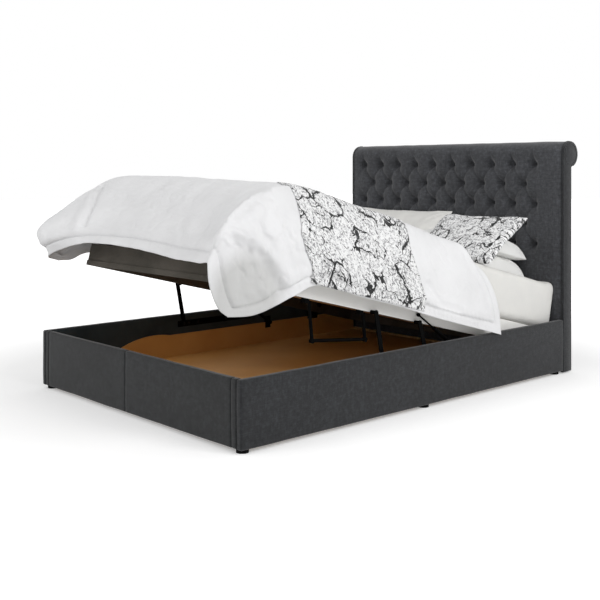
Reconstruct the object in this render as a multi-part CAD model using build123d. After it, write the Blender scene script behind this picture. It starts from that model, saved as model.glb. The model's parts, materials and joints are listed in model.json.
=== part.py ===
from build123d import *
from math import cos, hypot, radians, sin, tan
import os

# Lift-up storage bed: upholstered base and headboard, tilting mattress platform, bedding

os.makedirs("parts", exist_ok=True)

# Overall sizes, in the bed's own frame: X across, Y from foot to head, Z up from the floor
bed_width = 1610.0
base_length = 2254.0
foot_height = 16.0
rail_top = 293.0
panel_thickness = 30.0
panel_edge_radius = 8.0
clearance = 0.3
overrun = 20.0

# Storage box
storage_floor_top = 62.0
floor_board_thickness = 9.0
floor_gap = 2.0
floor_beam_width = 60.0
liner_thickness = 6.0
liner_height = 122.0
liner_tip_y = 300.0
liner_full_y = 760.0
lining_thickness = 3.0
lining_top_gap = 6.0
ledge_width = 24.0
ledge_height = 32.0
corner_leg = 55.0
corner_height = 50.0
corner_plate = 4.0
foot_radius = 26.0
foot_inset = 38.0

# Platform, drawn closed (level) and then opened about the hinge line
platform_width = 1464.0
platform_bottom = 210.0
platform_height = 112.0
platform_rail_thickness = 25.0
platform_foot_gap = 145.0
platform_head_gap = 74.0
slat_count = 14
slat_width = 75.0
slat_thickness = 12.0
slat_drop = 26.0
beam_width = 60.0
beam_height = 70.0
hinge_setback = 401.0
hinge_z = 260.0
open_angle = 14.0

# Lift arms and their bars, each reach measured from the hinge line towards the foot
bar_reach = 1038.0
bar_length = 530.0
bar_height = 34.0
bar_thickness = 5.0
bar_z = 240.0
arm_width = 24.0
arm_thickness = 5.0
arm_clearance = 2.5
front_arm_reach = 1001.0
front_arm_length = 236.0
front_arm_lean = 11.0
rear_arm_reach = 703.0
rear_arm_length = 161.0
rear_arm_lean = 16.0
pin_radius = 5.0
pin_running_gap = 0.05
pin_head_radius = 9.0
pin_head_thickness = 1.5

# Gas struts
strut_foot_reach = 373.0
strut_foot_z = 184.0
strut_top_reach = 731.0
strut_top_z = 428.0
strut_body_radius = 9.0
strut_rod_radius = 4.0
strut_body_length = 300.0
strut_bore_gap = 0.5
strut_eye_radius = 9.0
strut_eye_thickness = 8.0
strut_offset = 11.0
stud_radius = 4.0
strut_plate_height = 70.0
strut_plate_width = 46.0
strut_plate_thickness = 3.0

# Hinge brackets
hinge_plate_width = 90.0
hinge_plate_height = 120.0
hinge_plate_thickness = 5.0
hinge_pin_radius = 8.0
hinge_boss_radius = 16.0

# Folding prop frame under the near edge of the platform
prop_front_y = 417.0
prop_top_span = 341.0
prop_x = 712.0
prop_tube_radius = 7.5
prop_knuckle_radius = 11.0
prop_front_drop = 160.0
prop_rear_drop = 112.0
prop_front_lean = 58.0
prop_rear_lean = 40.0
prop_block_width = 34.0
prop_block_height = 20.0
prop_block_thickness = 14.0

# Headboard
headboard_height = 1269.0
headboard_board = 48.0
headboard_pad = 30.0
scroll_radius = 71.0
headboard_side = 15.0
headboard_foot = 6.0
button_radius = 11.0
button_depth = 7.0
button_top_drop = 125.0
button_pitch_x = 146.0
button_pitch_z = 112.0
button_columns = 10
button_rows = 5
well_radius = 24.0
well_depth = 14.0
pleat_width = 12.0
pleat_depth = 9.0

# Soft goods
mattress_width = 1500.0
mattress_inset = 2.5
mattress_height = 220.0
mattress_corner = 60.0
mattress_draw_in = 10.0
soft_gap = 0.3
duvet_thickness = 26.0
duvet_puff = 150.0
duvet_side_gap = 9.0
duvet_edge = 18.0
duvet_drop = 290.0
duvet_bare_length = 637.5
duvet_fold = 7.0
duvet_knee_gap = 8.0
duvet_shoulder = 100.0
runner_thickness = 4.0
runner_gap = 0.6
runner_start_y = 250.0
runner_end_y = 950.0

# Pillows: each foot line is given by its distance from the mattress's head end
pillow_length = 600.0
pillow_width = 400.0
pillow_height = 95.0
pillow_draw_in = 18.0
near_stack_x = 302.0
near_lower_reach = 422.0
near_upper_reach = 427.0
far_pillow_x = -332.0
far_pillow_length = 660.0
far_pillow_width = 425.0
far_pillow_reach = 306.0
far_pillow_tilt = 61.0
print_pillow_x = 497.0
print_pillow_length = 500.0
print_pillow_width = 410.0
print_pillow_height = 75.0
print_pillow_reach = 621.0
print_pillow_tilt = 47.5

bolt_radius = 4.0
bolt_head_radius = 8.0
bolt_head_height = 5.0

# Worked-out places
half_width = bed_width / 2
inner_x = half_width - panel_thickness
platform_half = platform_width / 2
platform_foot_y = panel_thickness + platform_foot_gap
platform_head_y = base_length - platform_head_gap
platform_length = platform_head_y - platform_foot_y
platform_top = platform_bottom + platform_height
hinge_y = base_length - hinge_setback
bar_front_y = hinge_y - bar_reach
front_arm_y = hinge_y - front_arm_reach
rear_arm_y = hinge_y - rear_arm_reach
strut_foot_y = hinge_y - strut_foot_reach
strut_top_y = hinge_y - strut_top_reach
bar_x = inner_x - bar_thickness
arm_x = bar_x - arm_clearance - arm_thickness
strut_x = platform_half + strut_offset
headboard_front_y = base_length
board_front_y = base_length + headboard_pad
board_back_y = board_front_y + headboard_board
scroll_y = base_length + scroll_radius
scroll_z = headboard_height - scroll_radius
button_top_z = headboard_height - button_top_drop
mattress_foot_y = platform_foot_y + mattress_inset
mattress_length = platform_length - mattress_inset * 2
mattress_top = platform_top + mattress_height
mattress_head_y = mattress_foot_y + mattress_length
duvet_head_y = mattress_head_y - duvet_bare_length
storage_end_y = headboard_front_y - panel_thickness - clearance
hinge_axis = Axis((0, hinge_y, hinge_z), (1, 0, 0))

nodes = {}


def block(x_low, x_high, y_low, y_high, z_low, z_high):
    """A plain box between two corners."""
    centre = ((x_low + x_high) / 2, (y_low + y_high) / 2, (z_low + z_high) / 2)
    return Pos(*centre) * Box(x_high - x_low, y_high - y_low, z_high - z_low)


def rod(start, end, radius):
    """A round bar from one point to another."""
    line = Vector(*end) - Vector(*start)
    return Plane(origin=start, z_dir=line) * Cylinder(
        radius, line.length, align=(Align.CENTER, Align.CENTER, Align.MIN)
    )


def opened(shape):
    """Turns a closed platform piece about the hinge line to the open rest pose."""
    return shape.rotate(hinge_axis, -open_angle)


def keep(name, *shapes):
    """Files one or more separate solids under a node's name."""
    solids = []
    for shape in shapes:
        solids.extend(shape.solids())
    nodes[name] = solids


def rounded(shape, radius, axis):
    """Rounds the edges that run along one axis."""
    return fillet(shape.edges().filter_by(axis), radius)


def base_panels():
    """The upholstered foot and side panels and the cross panel at the head."""
    foot = block(-half_width, half_width, 0, panel_thickness, foot_height, rail_top)
    foot = rounded(foot, panel_edge_radius, Axis.X)
    seam = block(
        -liner_thickness / 2, liner_thickness / 2, -overrun, clearance * 5, -overrun, rail_top + overrun
    )
    keep("foot_panel", foot - seam)
    side_low = panel_thickness + clearance
    side_high = headboard_front_y - clearance
    for name, sign in (("left", -1), ("right", 1)):
        edges = sorted((sign * inner_x, sign * half_width))
        side = block(edges[0], edges[1], side_low, side_high, foot_height, rail_top)
        keep(f"side_panel_{name}", rounded(side, panel_edge_radius, Axis.Y))
    head_low = storage_end_y + clearance
    top = storage_floor_top + floor_board_thickness
    keep("head_crosspiece", block(
        -inner_x + clearance, inner_x - clearance, head_low, side_high, foot_height, top
    ))


def corner_brackets():
    """Four steel angles that tie the panels together at the corners."""
    pieces = []
    low = storage_floor_top + liner_height + bolt_head_height
    high = low + corner_height
    for sign in (-1, 1):
        face = sign * (inner_x - lining_thickness)
        near = sorted((face, face - sign * corner_plate))
        wide = sorted((face, face - sign * corner_leg))
        start = panel_thickness + lining_thickness
        along = block(near[0], near[1], start, start + corner_leg, low, high)
        across = block(wide[0], wide[1], start, start + corner_plate, low, high)
        pieces.append(along + across)
        wide_y = headboard_front_y - clearance
        post = block(near[0], near[1], wide_y - corner_leg, wide_y, low, high)
        foot = block(wide[0], wide[1], wide_y - corner_plate, wide_y, low, high)
        pieces.append(post + foot)
    keep("corner_brackets", *pieces)


def storage_box():
    """Two floor boards on a beam, the board skirting round them and the felt above."""
    top = storage_floor_top
    low = top - floor_board_thickness
    start = panel_thickness
    end = storage_end_y
    for name, sign in (("left", -1), ("right", 1)):
        edges = sorted((sign * floor_gap / 2, sign * inner_x))
        keep(f"storage_floor_{name}", block(edges[0], edges[1], start, end, low, top))
    beam = block(-floor_beam_width / 2, floor_beam_width / 2, start, end, foot_height, low)
    keep("floor_beam", beam)
    ledges = []
    for sign in (-1, 1):
        edges = sorted((sign * inner_x, sign * (inner_x - ledge_width)))
        ledges.append(block(edges[0], edges[1], start, end, low - ledge_height, low))
    keep("floor_ledges", *ledges)
    liner_x = inner_x - lining_thickness
    for name, sign in (("left", -1), ("right", 1)):
        keep(f"storage_liner_{name}", liner(sign * liner_x, sign) - arm_pocket(sign))
        lining(name, sign)
    keep("foot_lining", block(
        -liner_x, liner_x, start, start + lining_thickness, top, rail_top - lining_top_gap
    ))


def liner(x_face, sign):
    """The board skirting at a side: its top edge sweeps up from the floor near the foot."""
    low = storage_floor_top
    high = low + liner_height
    sweep_mid_share = 0.28
    rise_mid_share = 0.68
    mid_y = liner_tip_y + sweep_mid_share * (liner_full_y - liner_tip_y)
    sweep = ThreePointArc(
        (liner_tip_y, low), (mid_y, low + rise_mid_share * liner_height), (liner_full_y, high)
    )
    rest = Polyline((liner_full_y, high), (storage_end_y, high), (storage_end_y, low), (liner_tip_y, low))
    outline = make_face([sweep, rest])
    return extrude(Plane.YZ.offset(x_face) * outline, -sign * liner_thickness)


def arm_pocket(sign):
    """The space that the bar, the arms and the strut plate need at a side."""
    edges = sorted((sign * half_width, sign * (platform_half - overrun)))
    low = bar_z - bar_height / 2 - clearance * 5
    front = front_arm_y - front_arm_length - overrun
    bars = block(edges[0], edges[1], front, bar_front_y + bar_length + clearance, low, rail_top)
    plate_half = strut_plate_width / 2 + clearance
    plate = block(
        edges[0], edges[1], strut_foot_y - plate_half, strut_foot_y + plate_half,
        strut_foot_z - strut_plate_height / 2 - clearance, rail_top,
    )
    hinge_half = hinge_plate_width / 2 + clearance
    hinge = block(
        edges[0], edges[1], hinge_y - hinge_half, hinge_y + hinge_half,
        rail_top - lining_top_gap - hinge_plate_height - clearance, rail_top,
    )
    return bars + plate + hinge


def lining(name, sign):
    """Black felt on the inside of a side panel, cut out round the steel plates."""
    start = panel_thickness + lining_thickness
    end = headboard_front_y - clearance - corner_leg
    low = storage_floor_top
    high = rail_top - lining_top_gap
    edges = sorted((sign * inner_x, sign * (inner_x - lining_thickness)))
    sheet = block(edges[0], edges[1], start, end, low, high)
    front = bar_front_y
    bars = block(
        -half_width, half_width, front, front + bar_length,
        bar_z - bar_height / 2, bar_z + bar_height / 2,
    )
    plate = block(
        -half_width, half_width, strut_foot_y - strut_plate_width / 2, strut_foot_y + strut_plate_width / 2,
        strut_foot_z - strut_plate_height / 2, strut_foot_z + strut_plate_height / 2,
    )
    hinge = block(
        -half_width, half_width, hinge_y - hinge_plate_width / 2, hinge_y + hinge_plate_width / 2,
        hinge_z - hinge_plate_height, hinge_z + hinge_plate_height,
    )
    keep(f"side_lining_{name}", sheet - bars - plate - hinge)


def feet():
    """Six short round feet under the base."""
    pieces = []
    middle = base_length / 2
    for sign in (-1, 1):
        x_place = sign * (half_width - foot_inset)
        for y_place in (foot_inset, middle, base_length - foot_inset):
            pieces.append(rod((x_place, y_place, 0), (x_place, y_place, foot_height), foot_radius))
    keep("feet", *pieces)


def side_bolt_places():
    """Where the bolts of a lift bar sit along it."""
    bolt_shares = (0.14, 0.26, 0.78, 0.94)
    return [bar_front_y + share * bar_length for share in bolt_shares]


def lift_bars():
    """A flat steel bar on each side panel, its bolts, and the pins that the arms turn on."""
    bolts = []
    pins = []
    low = bar_z - bar_height / 2
    for name, sign in (("left", -1), ("right", 1)):
        edges = sorted((sign * bar_x, sign * inner_x))
        bar = block(edges[0], edges[1], bar_front_y, bar_front_y + bar_length, low, low + bar_height)
        for y_place in side_bolt_places():
            head = (sign * (bar_x - pin_head_thickness), y_place, bar_z)
            face = (sign * bar_x, y_place, bar_z)
            tip = (sign * (inner_x + panel_thickness / 2), y_place, bar_z)
            bar -= rod(face, tip, bolt_radius + clearance)
            panel = f"side_panel_{name}"
            hole = rod((sign * inner_x, y_place, bar_z), tip, bolt_radius + clearance)
            nodes[panel] = (Part() + nodes[panel] - hole).solids()
            bolts.append(rod(head, face, bolt_head_radius) + rod(face, tip, bolt_radius))
        for y_place in (front_arm_y, rear_arm_y):
            face = (sign * inner_x, y_place, bar_z)
            end = (sign * (arm_x - clearance), y_place, bar_z)
            cap = (sign * (arm_x - clearance - pin_head_thickness), y_place, bar_z)
            bar -= rod(face, end, pin_radius + pin_running_gap)
            pins.append(rod(face, end, pin_radius) + rod(end, cap, pin_head_radius))
        keep(f"lift_bar_{name}", bar)
    keep("lift_bar_bolts", *bolts)
    keep("arm_pins", *pins)


def lift_arms():
    """Two flat arms a side, upright with the platform up, each with a roller at its top."""
    arms = (
        ("front", front_arm_y, front_arm_length, front_arm_lean),
        ("rear", rear_arm_y, rear_arm_length, rear_arm_lean),
    )
    for label, y_place, length, lean in arms:
        top_y = y_place - length * sin(radians(lean))
        top_z = bar_z + length * cos(radians(lean))
        for name, sign in (("left", -1), ("right", 1)):
            outer = sign * (arm_x + arm_thickness)
            inner = sign * arm_x
            lower = rod((inner, y_place, bar_z), (outer, y_place, bar_z), arm_width / 2)
            upper = rod((inner, top_y, top_z), (outer, top_y, top_z), arm_width / 2)
            edges = sorted((inner, outer))
            web = block(
                edges[0], edges[1], -arm_width / 2, arm_width / 2, 0, length
            ).rotate(Axis.X, lean)
            web = Pos(0, y_place, bar_z) * web
            arm = lower + upper + web
            arm -= rod(
                (sign * (arm_x - overrun), y_place, bar_z), (sign * inner_x, y_place, bar_z),
                pin_radius + pin_running_gap,
            )
            roller_end = sign * (platform_half + arm_clearance)
            arm += rod((inner, top_y, top_z), (roller_end, top_y, top_z), pin_head_radius)
            keep(f"{label}_arm_{name}", arm)


def gas_struts():
    """A gas strut a side: plate and stud on the panel, body, sliding rod, stud on the platform."""
    studs = []
    run_y = strut_top_y - strut_foot_y
    run_z = strut_top_z - strut_foot_z
    reach = hypot(run_y, run_z)
    way_y = run_y / reach
    way_z = run_z / reach
    for name, sign in (("left", -1), ("right", 1)):
        x_mid = sign * strut_x

        def along(distance):
            return (x_mid, strut_foot_y + way_y * distance, strut_foot_z + way_z * distance)

        plate_inner = sign * (inner_x - strut_plate_thickness)
        edges = sorted((plate_inner, sign * inner_x))
        plate = block(
            edges[0], edges[1],
            strut_foot_y - strut_plate_width / 2, strut_foot_y + strut_plate_width / 2,
            strut_foot_z - strut_plate_height / 2, strut_foot_z + strut_plate_height / 2,
        )
        stud_tip = sign * (strut_x - strut_eye_thickness / 2)
        foot_at = (plate_inner, strut_foot_y, strut_foot_z)
        keep(f"strut_plate_{name}", plate + rod(
            foot_at, (stud_tip, strut_foot_y, strut_foot_z), stud_radius
        ))
        eye_low = sign * (strut_x - strut_eye_thickness / 2)
        eye_high = sign * (strut_x + strut_eye_thickness / 2)
        hole_radius = stud_radius + pin_running_gap
        body_start = strut_eye_radius + strut_rod_radius
        body = rod(along(body_start), along(strut_body_length), strut_body_radius)
        body -= rod(
            along(body_start + strut_body_radius), along(strut_body_length + overrun),
            strut_rod_radius + strut_bore_gap,
        )
        eye = rod((eye_low, strut_foot_y, strut_foot_z), (eye_high, strut_foot_y, strut_foot_z), strut_eye_radius)
        neck = rod(along(strut_eye_radius / 2), along(body_start + strut_eye_radius / 2), strut_rod_radius)
        bore = rod(
            (sign * (strut_x - overrun), strut_foot_y, strut_foot_z),
            (sign * (strut_x + overrun), strut_foot_y, strut_foot_z), hole_radius,
        )
        keep(f"strut_body_{name}", body + eye + neck - bore)
        rod_start = strut_body_length / 3
        top_eye = rod((eye_low, strut_top_y, strut_top_z), (eye_high, strut_top_y, strut_top_z), strut_eye_radius)
        top_bore = rod(
            (sign * (strut_x - overrun), strut_top_y, strut_top_z),
            (sign * (strut_x + overrun), strut_top_y, strut_top_z),
            stud_radius + strut_bore_gap * 2,
        )
        slider = rod(along(rod_start), along(reach - strut_eye_radius / 2), strut_rod_radius)
        keep(f"strut_rod_{name}", slider + top_eye - top_bore)
        studs.append(rod(
            (sign * platform_half, strut_top_y, strut_top_z),
            (sign * (strut_x - strut_eye_thickness / 2 - strut_bore_gap), strut_top_y, strut_top_z),
            stud_radius,
        ))
    keep("strut_studs", *studs)


def hinge_brackets():
    """A plate and collar on each side panel, and the pin that the platform turns on."""
    pins = []
    low = rail_top - lining_top_gap - hinge_plate_height
    for name, sign in (("left", -1), ("right", 1)):
        face = sign * (inner_x - hinge_plate_thickness)
        edges = sorted((face, sign * inner_x))
        plate = block(
            edges[0], edges[1], hinge_y - hinge_plate_width / 2, hinge_y + hinge_plate_width / 2,
            low, low + hinge_plate_height,
        )
        collar = rod(
            (face, hinge_y, hinge_z), (sign * (platform_half + clearance * 2), hinge_y, hinge_z),
            hinge_boss_radius,
        )
        bore = rod(
            (sign * inner_x, hinge_y, hinge_z), (sign * platform_half, hinge_y, hinge_z),
            hinge_pin_radius + pin_running_gap,
        )
        keep(f"hinge_bracket_{name}", plate + collar - bore)
        inner_face = platform_half - platform_rail_thickness - clearance * 2
        shaft = rod(
            (sign * inner_x, hinge_y, hinge_z), (sign * inner_face, hinge_y, hinge_z), hinge_pin_radius
        )
        head = rod(
            (sign * inner_face, hinge_y, hinge_z),
            (sign * (inner_face - hinge_plate_thickness), hinge_y, hinge_z), hinge_boss_radius,
        )
        pins.append(shaft + head)
    keep("hinge_pins", *pins)


def platform():
    """The tilting platform: four wrapped rails, a centre beam, cleats and slats."""
    inner = platform_half - platform_rail_thickness
    low = platform_bottom
    high = platform_top
    foot = platform_foot_y
    head = platform_head_y
    hole = rod(
        (-inner_x, hinge_y, hinge_z), (inner_x, hinge_y, hinge_z), hinge_pin_radius + pin_running_gap
    )
    for name, sign in (("left", -1), ("right", 1)):
        edges = sorted((sign * inner, sign * platform_half))
        rail = block(edges[0], edges[1], foot, head, low, high)
        keep(f"platform_rail_{name}", opened(rounded(rail, panel_edge_radius / 2, Axis.Y) - hole))
    ends = (("foot", foot, foot + platform_rail_thickness), ("head", head - platform_rail_thickness, head))
    for name, start, end in ends:
        keep(f"platform_rail_{name}", opened(block(-inner, inner, start, end, low, high)))
    edge = block(
        -platform_half, platform_half, foot - bar_thickness, foot, low, low + slat_drop
    )
    keep("platform_foot_edge", opened(edge))
    slat_low = high - slat_thickness
    inside_foot = foot + platform_rail_thickness
    inside_head = head - platform_rail_thickness
    beam = block(
        -beam_width / 2, beam_width / 2, inside_foot, inside_head, slat_low - beam_height, slat_low
    )
    keep("platform_beam", opened(beam))
    cleats = []
    for sign in (-1, 1):
        edges = sorted((sign * inner, sign * (inner - ledge_width)))
        cleats.append(opened(block(
            edges[0], edges[1], inside_foot, inside_head - clearance, slat_low - ledge_width, slat_low
        )))
    keep("slat_cleats", *cleats)
    slats = []
    step = (inside_head - inside_foot - slat_width) / (slat_count - 1)
    for index in range(slat_count):
        start = inside_foot + index * step
        slats.append(opened(block(
            -inner + clearance, inner - clearance, start, start + slat_width, slat_low, high
        )))
    keep("slats", *slats)


def prop():
    """A U-shaped prop frame hinged under the near edge of the platform, and its two blocks."""
    axis_z = platform_bottom - prop_block_height / 2
    rear_y = prop_front_y + prop_top_span
    front_top = (prop_x, prop_front_y, axis_z)
    rear_top = (prop_x, rear_y, axis_z)
    front_foot = (prop_x, prop_front_y + prop_front_lean, axis_z - prop_front_drop)
    rear_foot = (prop_x, rear_y + prop_rear_lean, axis_z - prop_rear_drop)
    frame = rod(front_top, front_foot, prop_tube_radius)
    frame += rod(front_foot, rear_foot, prop_tube_radius)
    frame += rod(rear_top, rear_foot, prop_tube_radius)
    for corner in (front_foot, rear_foot):
        start = (prop_x - prop_tube_radius, corner[1], corner[2])
        end = (prop_x + prop_tube_radius, corner[1], corner[2])
        frame += rod(start, end, prop_knuckle_radius)
    blocks = []
    for y_place in (prop_front_y, rear_y):
        before = y_place - prop_block_width
        barrel = rod(
            (prop_x, before, axis_z), (prop_x, y_place, axis_z), prop_tube_radius - clearance
        )
        frame += barrel
        hinge_block = block(
            prop_x - prop_block_thickness, prop_x + prop_block_thickness,
            before, y_place - prop_knuckle_radius, axis_z - prop_block_height / 2, platform_bottom,
        )
        hinge_block -= rod(
            (prop_x, before - overrun, axis_z), (prop_x, y_place, axis_z),
            prop_tube_radius - clearance + pin_running_gap,
        )
        blocks.append(opened(hinge_block))
    keep("prop_hinge_blocks", *blocks)
    keep("prop_frame", opened(frame))


def button_places():
    """The X and Z of every button: rows of ten and nine by turns, from the top row down."""
    places = []
    for row in range(button_rows):
        count = button_columns - row % 2
        for column in range(count):
            x_place = (column - (count - 1) / 2) * button_pitch_x
            places.append((row, x_place, button_top_z - row * button_pitch_z))
    return places


def pleat(start, end):
    """A shallow V channel in the pad's face from one point (X, Z) to another."""
    line = Vector(end[0] - start[0], 0, end[1] - start[1])
    section = Plane(
        origin=(start[0], headboard_front_y, start[1]), x_dir=(0, 1, 0), z_dir=line
    )
    cut = section * Polygon(
        (-pleat_depth, -pleat_width), (-pleat_depth, pleat_width), (pleat_depth, 0), align=None
    )
    return extrude(cut, line.length)


def headboard_tufting():
    """The wells and pleats that are taken out of the pad's face."""
    places = button_places()
    cuts = []
    for row, x_place, z_place in places:
        well = Plane(origin=(x_place, headboard_front_y, z_place), z_dir=(0, 1, 0)) * Cone(
            well_radius, button_radius, well_depth, align=(Align.CENTER, Align.CENTER, Align.MIN)
        )
        cuts.append(well)
        if row == 0:
            cuts.append(pleat((x_place, z_place), (x_place, scroll_z)))
        for next_row, next_x, next_z in places:
            beside = abs(abs(next_x - x_place) - button_pitch_x / 2) < clearance
            if next_row == row + 1 and beside:
                cuts.append(pleat((x_place, z_place), (next_x, next_z)))
    return cuts


def headboard():
    """Board, tufted pad, buttons, rolled top and the two wrapped side strips with their piping."""
    strip_x = half_width - headboard_side
    roll_radius = scroll_radius + clearance
    roll_space = rod((-half_width, scroll_y, scroll_z), (half_width, scroll_y, scroll_z), roll_radius)
    board = block(-strip_x, strip_x, board_front_y, board_back_y, headboard_foot, scroll_z)
    pad = block(-strip_x, strip_x, headboard_front_y, board_front_y, headboard_foot, scroll_z)
    pad = pad - headboard_tufting()
    bolts = []
    for sign in (-1, 1):
        x_place = sign * (strip_x - bolt_head_radius * 1.2)
        for z_share in (0.35, 0.75):
            z_place = rail_top * z_share
            back = (x_place, board_back_y, z_place)
            front = (x_place, board_front_y + bolt_radius, z_place)
            tip = (x_place, board_back_y + bolt_head_height, z_place)
            board -= rod(front, back, bolt_radius + pin_running_gap)
            bolts.append(rod(front, back, bolt_radius) + rod(back, tip, bolt_head_radius))
    keep("headboard_board", board - roll_space)
    keep("headboard_pad", pad - roll_space)
    keep("headboard_bolts", *bolts)
    roll = rod((-strip_x, scroll_y, scroll_z), (strip_x, scroll_y, scroll_z), scroll_radius)
    keep("headboard_roll", roll)
    buttons = []
    seat_y = headboard_front_y + well_depth
    for row, x_place, z_place in button_places():
        buttons.append(rod(
            (x_place, seat_y, z_place), (x_place, seat_y - button_depth, z_place),
            button_radius - clearance,
        ))
    keep("headboard_buttons", *buttons)
    for name, sign in (("left", -1), ("right", 1)):
        edges = sorted((sign * (strip_x + clearance), sign * half_width))
        strip = block(edges[0], edges[1], headboard_front_y, board_back_y, headboard_foot, scroll_z)
        strip = strip + rod((edges[0], scroll_y, scroll_z), (edges[1], scroll_y, scroll_z), scroll_radius)
        keep(f"headboard_side_{name}", strip)


# How full a cushion is at each level of its height
cushion_shares = ((0.0, 0.72), (0.1, 0.88), (0.3, 0.98), (0.5, 1.0), (0.7, 0.98), (0.9, 0.88), (1.0, 0.72))


def cushion(length, width, height, draw_in):
    """A crowned cushion on the origin's plane: its sides draw in between the corners."""
    sections = []
    for level, size in cushion_shares:
        half_x = length / 2 - height * (1 - size)
        half_y = width / 2 - height * (1 - size)
        corners = [(-half_x, -half_y), (half_x, -half_y), (half_x, half_y), (-half_x, half_y)]
        mids = [(0, draw_in - half_y), (half_x - draw_in, 0), (0, half_y - draw_in), (draw_in - half_x, 0)]
        edges = []
        for index, mid in enumerate(mids):
            edges.append(ThreePointArc(corners[index], mid, corners[(index + 1) % 4]))
        sections.append(Pos(0, 0, level * height) * make_face(Wire(edges)))
    return loft(sections, ruled=True)


def mattress():
    """The mattress in its fitted sheet: rounded corners, crowned top, sides drawn in a little."""
    level_shares = (0.0, 0.06, 0.25, 0.5, 0.75, 0.92, 1.0)
    inset_shares = (0.7, 0.25, 0.0, 0.3, 0.0, 0.35, 1.0)
    sections = []
    low = platform_top + soft_gap
    for level, share in zip(level_shares, inset_shares):
        inset = share * mattress_draw_in * 2
        outline = RectangleRounded(
            mattress_width - inset * 2, mattress_length - inset * 2, mattress_corner
        )
        centre_y = mattress_foot_y + mattress_length / 2
        sections.append(Pos(0, centre_y, low + level * (mattress_height - soft_gap)) * outline)
    keep("mattress", opened(loft(sections, ruled=True)))


# The duvet's upper face at places across the bed: first the place as a share of half the
# mattress's width, then points from the foot hem to the head hem, each as the distance from the
# mattress's foot in shares of the duvet's run and the height over the mattress in shares of its puff
drape_stations_shares = (
    (-1.00, (-0.189, -1.28), (-0.134, -0.61), (-0.083, -0.05), (-0.028, 0.44), (0.042, 0.87), (0.185, 0.93),
     (0.347, 0.84), (0.530, 0.71), (0.699, 0.59), (0.839, 0.44), (0.912, 0.18)),
    (-0.56, (-0.117, -1.50), (-0.077, -0.68), (-0.029, 0.07), (0.030, 0.77), (0.105, 1.23), (0.207, 1.20),
     (0.347, 1.07), (0.530, 0.93), (0.699, 0.79), (0.861, 0.61), (0.949, 0.18)),
    (-0.07, (-0.127, -1.57), (-0.085, -0.73), (-0.036, 0.01), (0.022, 0.71), (0.101, 1.17), (0.204, 1.15),
     (0.347, 1.05), (0.530, 0.92), (0.699, 0.79), (0.868, 0.60), (0.956, 0.18)),
    (0.33, (-0.152, -1.58), (-0.108, -0.88), (-0.060, -0.11), (-0.001, 0.62), (0.083, 1.09), (0.196, 1.10),
     (0.347, 1.02), (0.530, 0.89), (0.699, 0.76), (0.861, 0.58), (0.952, 0.18)),
    (0.74, (-0.204, -1.85), (-0.161, -1.03), (-0.107, -0.23), (-0.050, 0.55), (0.031, 1.01), (0.184, 1.05),
     (0.347, 0.98), (0.530, 0.83), (0.695, 0.70), (0.846, 0.53), (0.927, 0.18)),
    (1.00, (-0.292, -1.51), (-0.250, -0.78), (-0.198, -0.18), (-0.110, 0.40), (0.007, 0.81), (0.163, 0.87),
     (0.339, 0.79), (0.530, 0.63), (0.692, 0.48), (0.817, 0.37), (0.894, 0.18)),
)

# The hems of the two hanging sides, point by point below the stations above, and the bulge of
# the foot hem between the upper face and the corner of the cloth
far_hem_shares = (
    (-0.094, -2.35), (-0.057, -2.05), (-0.028, -1.83), (0.009, -1.75), (0.053, -1.71), (0.178, -1.69),
    (0.347, -1.75), (0.530, -1.75), (0.714, -1.81), (0.912, -1.87), (1.073, -1.89),
)
near_hem_shares = (
    (-0.193, -3.09), (-0.123, -2.98), (-0.072, -2.83), (-0.028, -2.56), (0.028, -2.27), (0.138, -1.80),
    (0.325, -1.87), (0.530, -1.88), (0.721, -1.97), (0.919, -2.00), (1.088, -2.01),
)
far_bulge_share = (-0.163, -1.87)
near_bulge_share = (-0.281, -2.35)

# How much of a side's height each slice outwards keeps, from the mattress's edge to the outside
side_height_shares = (0.93, 0.60, 0.30)
side_out_share = 0.65


def drape_place(shares):
    """A point of the drape along the bed and up, from its shares."""
    run = duvet_head_y - mattress_foot_y
    return (mattress_foot_y + shares[0] * run, mattress_top + shares[1] * duvet_puff)


def side_face(x_place, points):
    """A closed section of the drape, square to the width of the bed."""
    corners = [(x_place, y_place, z_place) for y_place, z_place in points]
    return make_face(Polyline(*corners, close=True))


def between(low, high, share):
    """The point at a share of the way from one point to another."""
    return (low[0] + share * (high[0] - low[0]), low[1] + share * (high[1] - low[1]))


def drape_top(growth, sink):
    """The part of the drape over the mattress and down past its foot."""
    edge_x = mattress_width / 2 + soft_gap
    seat = mattress_top + soft_gap - sink
    slant_share = 0.6
    sections = []
    for station in drape_stations_shares:
        outer = [drape_place(shares) for shares in station[1:]]
        inner = [
            (outer[0][0] + duvet_thickness, outer[0][1] - sink),
            (outer[1][0] + duvet_thickness, outer[1][1] - slant_share * duvet_thickness - sink),
            (outer[2][0] + duvet_thickness, outer[2][1] - slant_share * duvet_thickness - sink),
            (mattress_foot_y - soft_gap, seat),
            (outer[-1][0], seat),
        ]
        grown = [(y_place, z_place + growth) for y_place, z_place in outer]
        sections.append(side_face(station[0] * edge_x, grown + inner[::-1]))
    return loft(sections, ruled=True)


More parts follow.
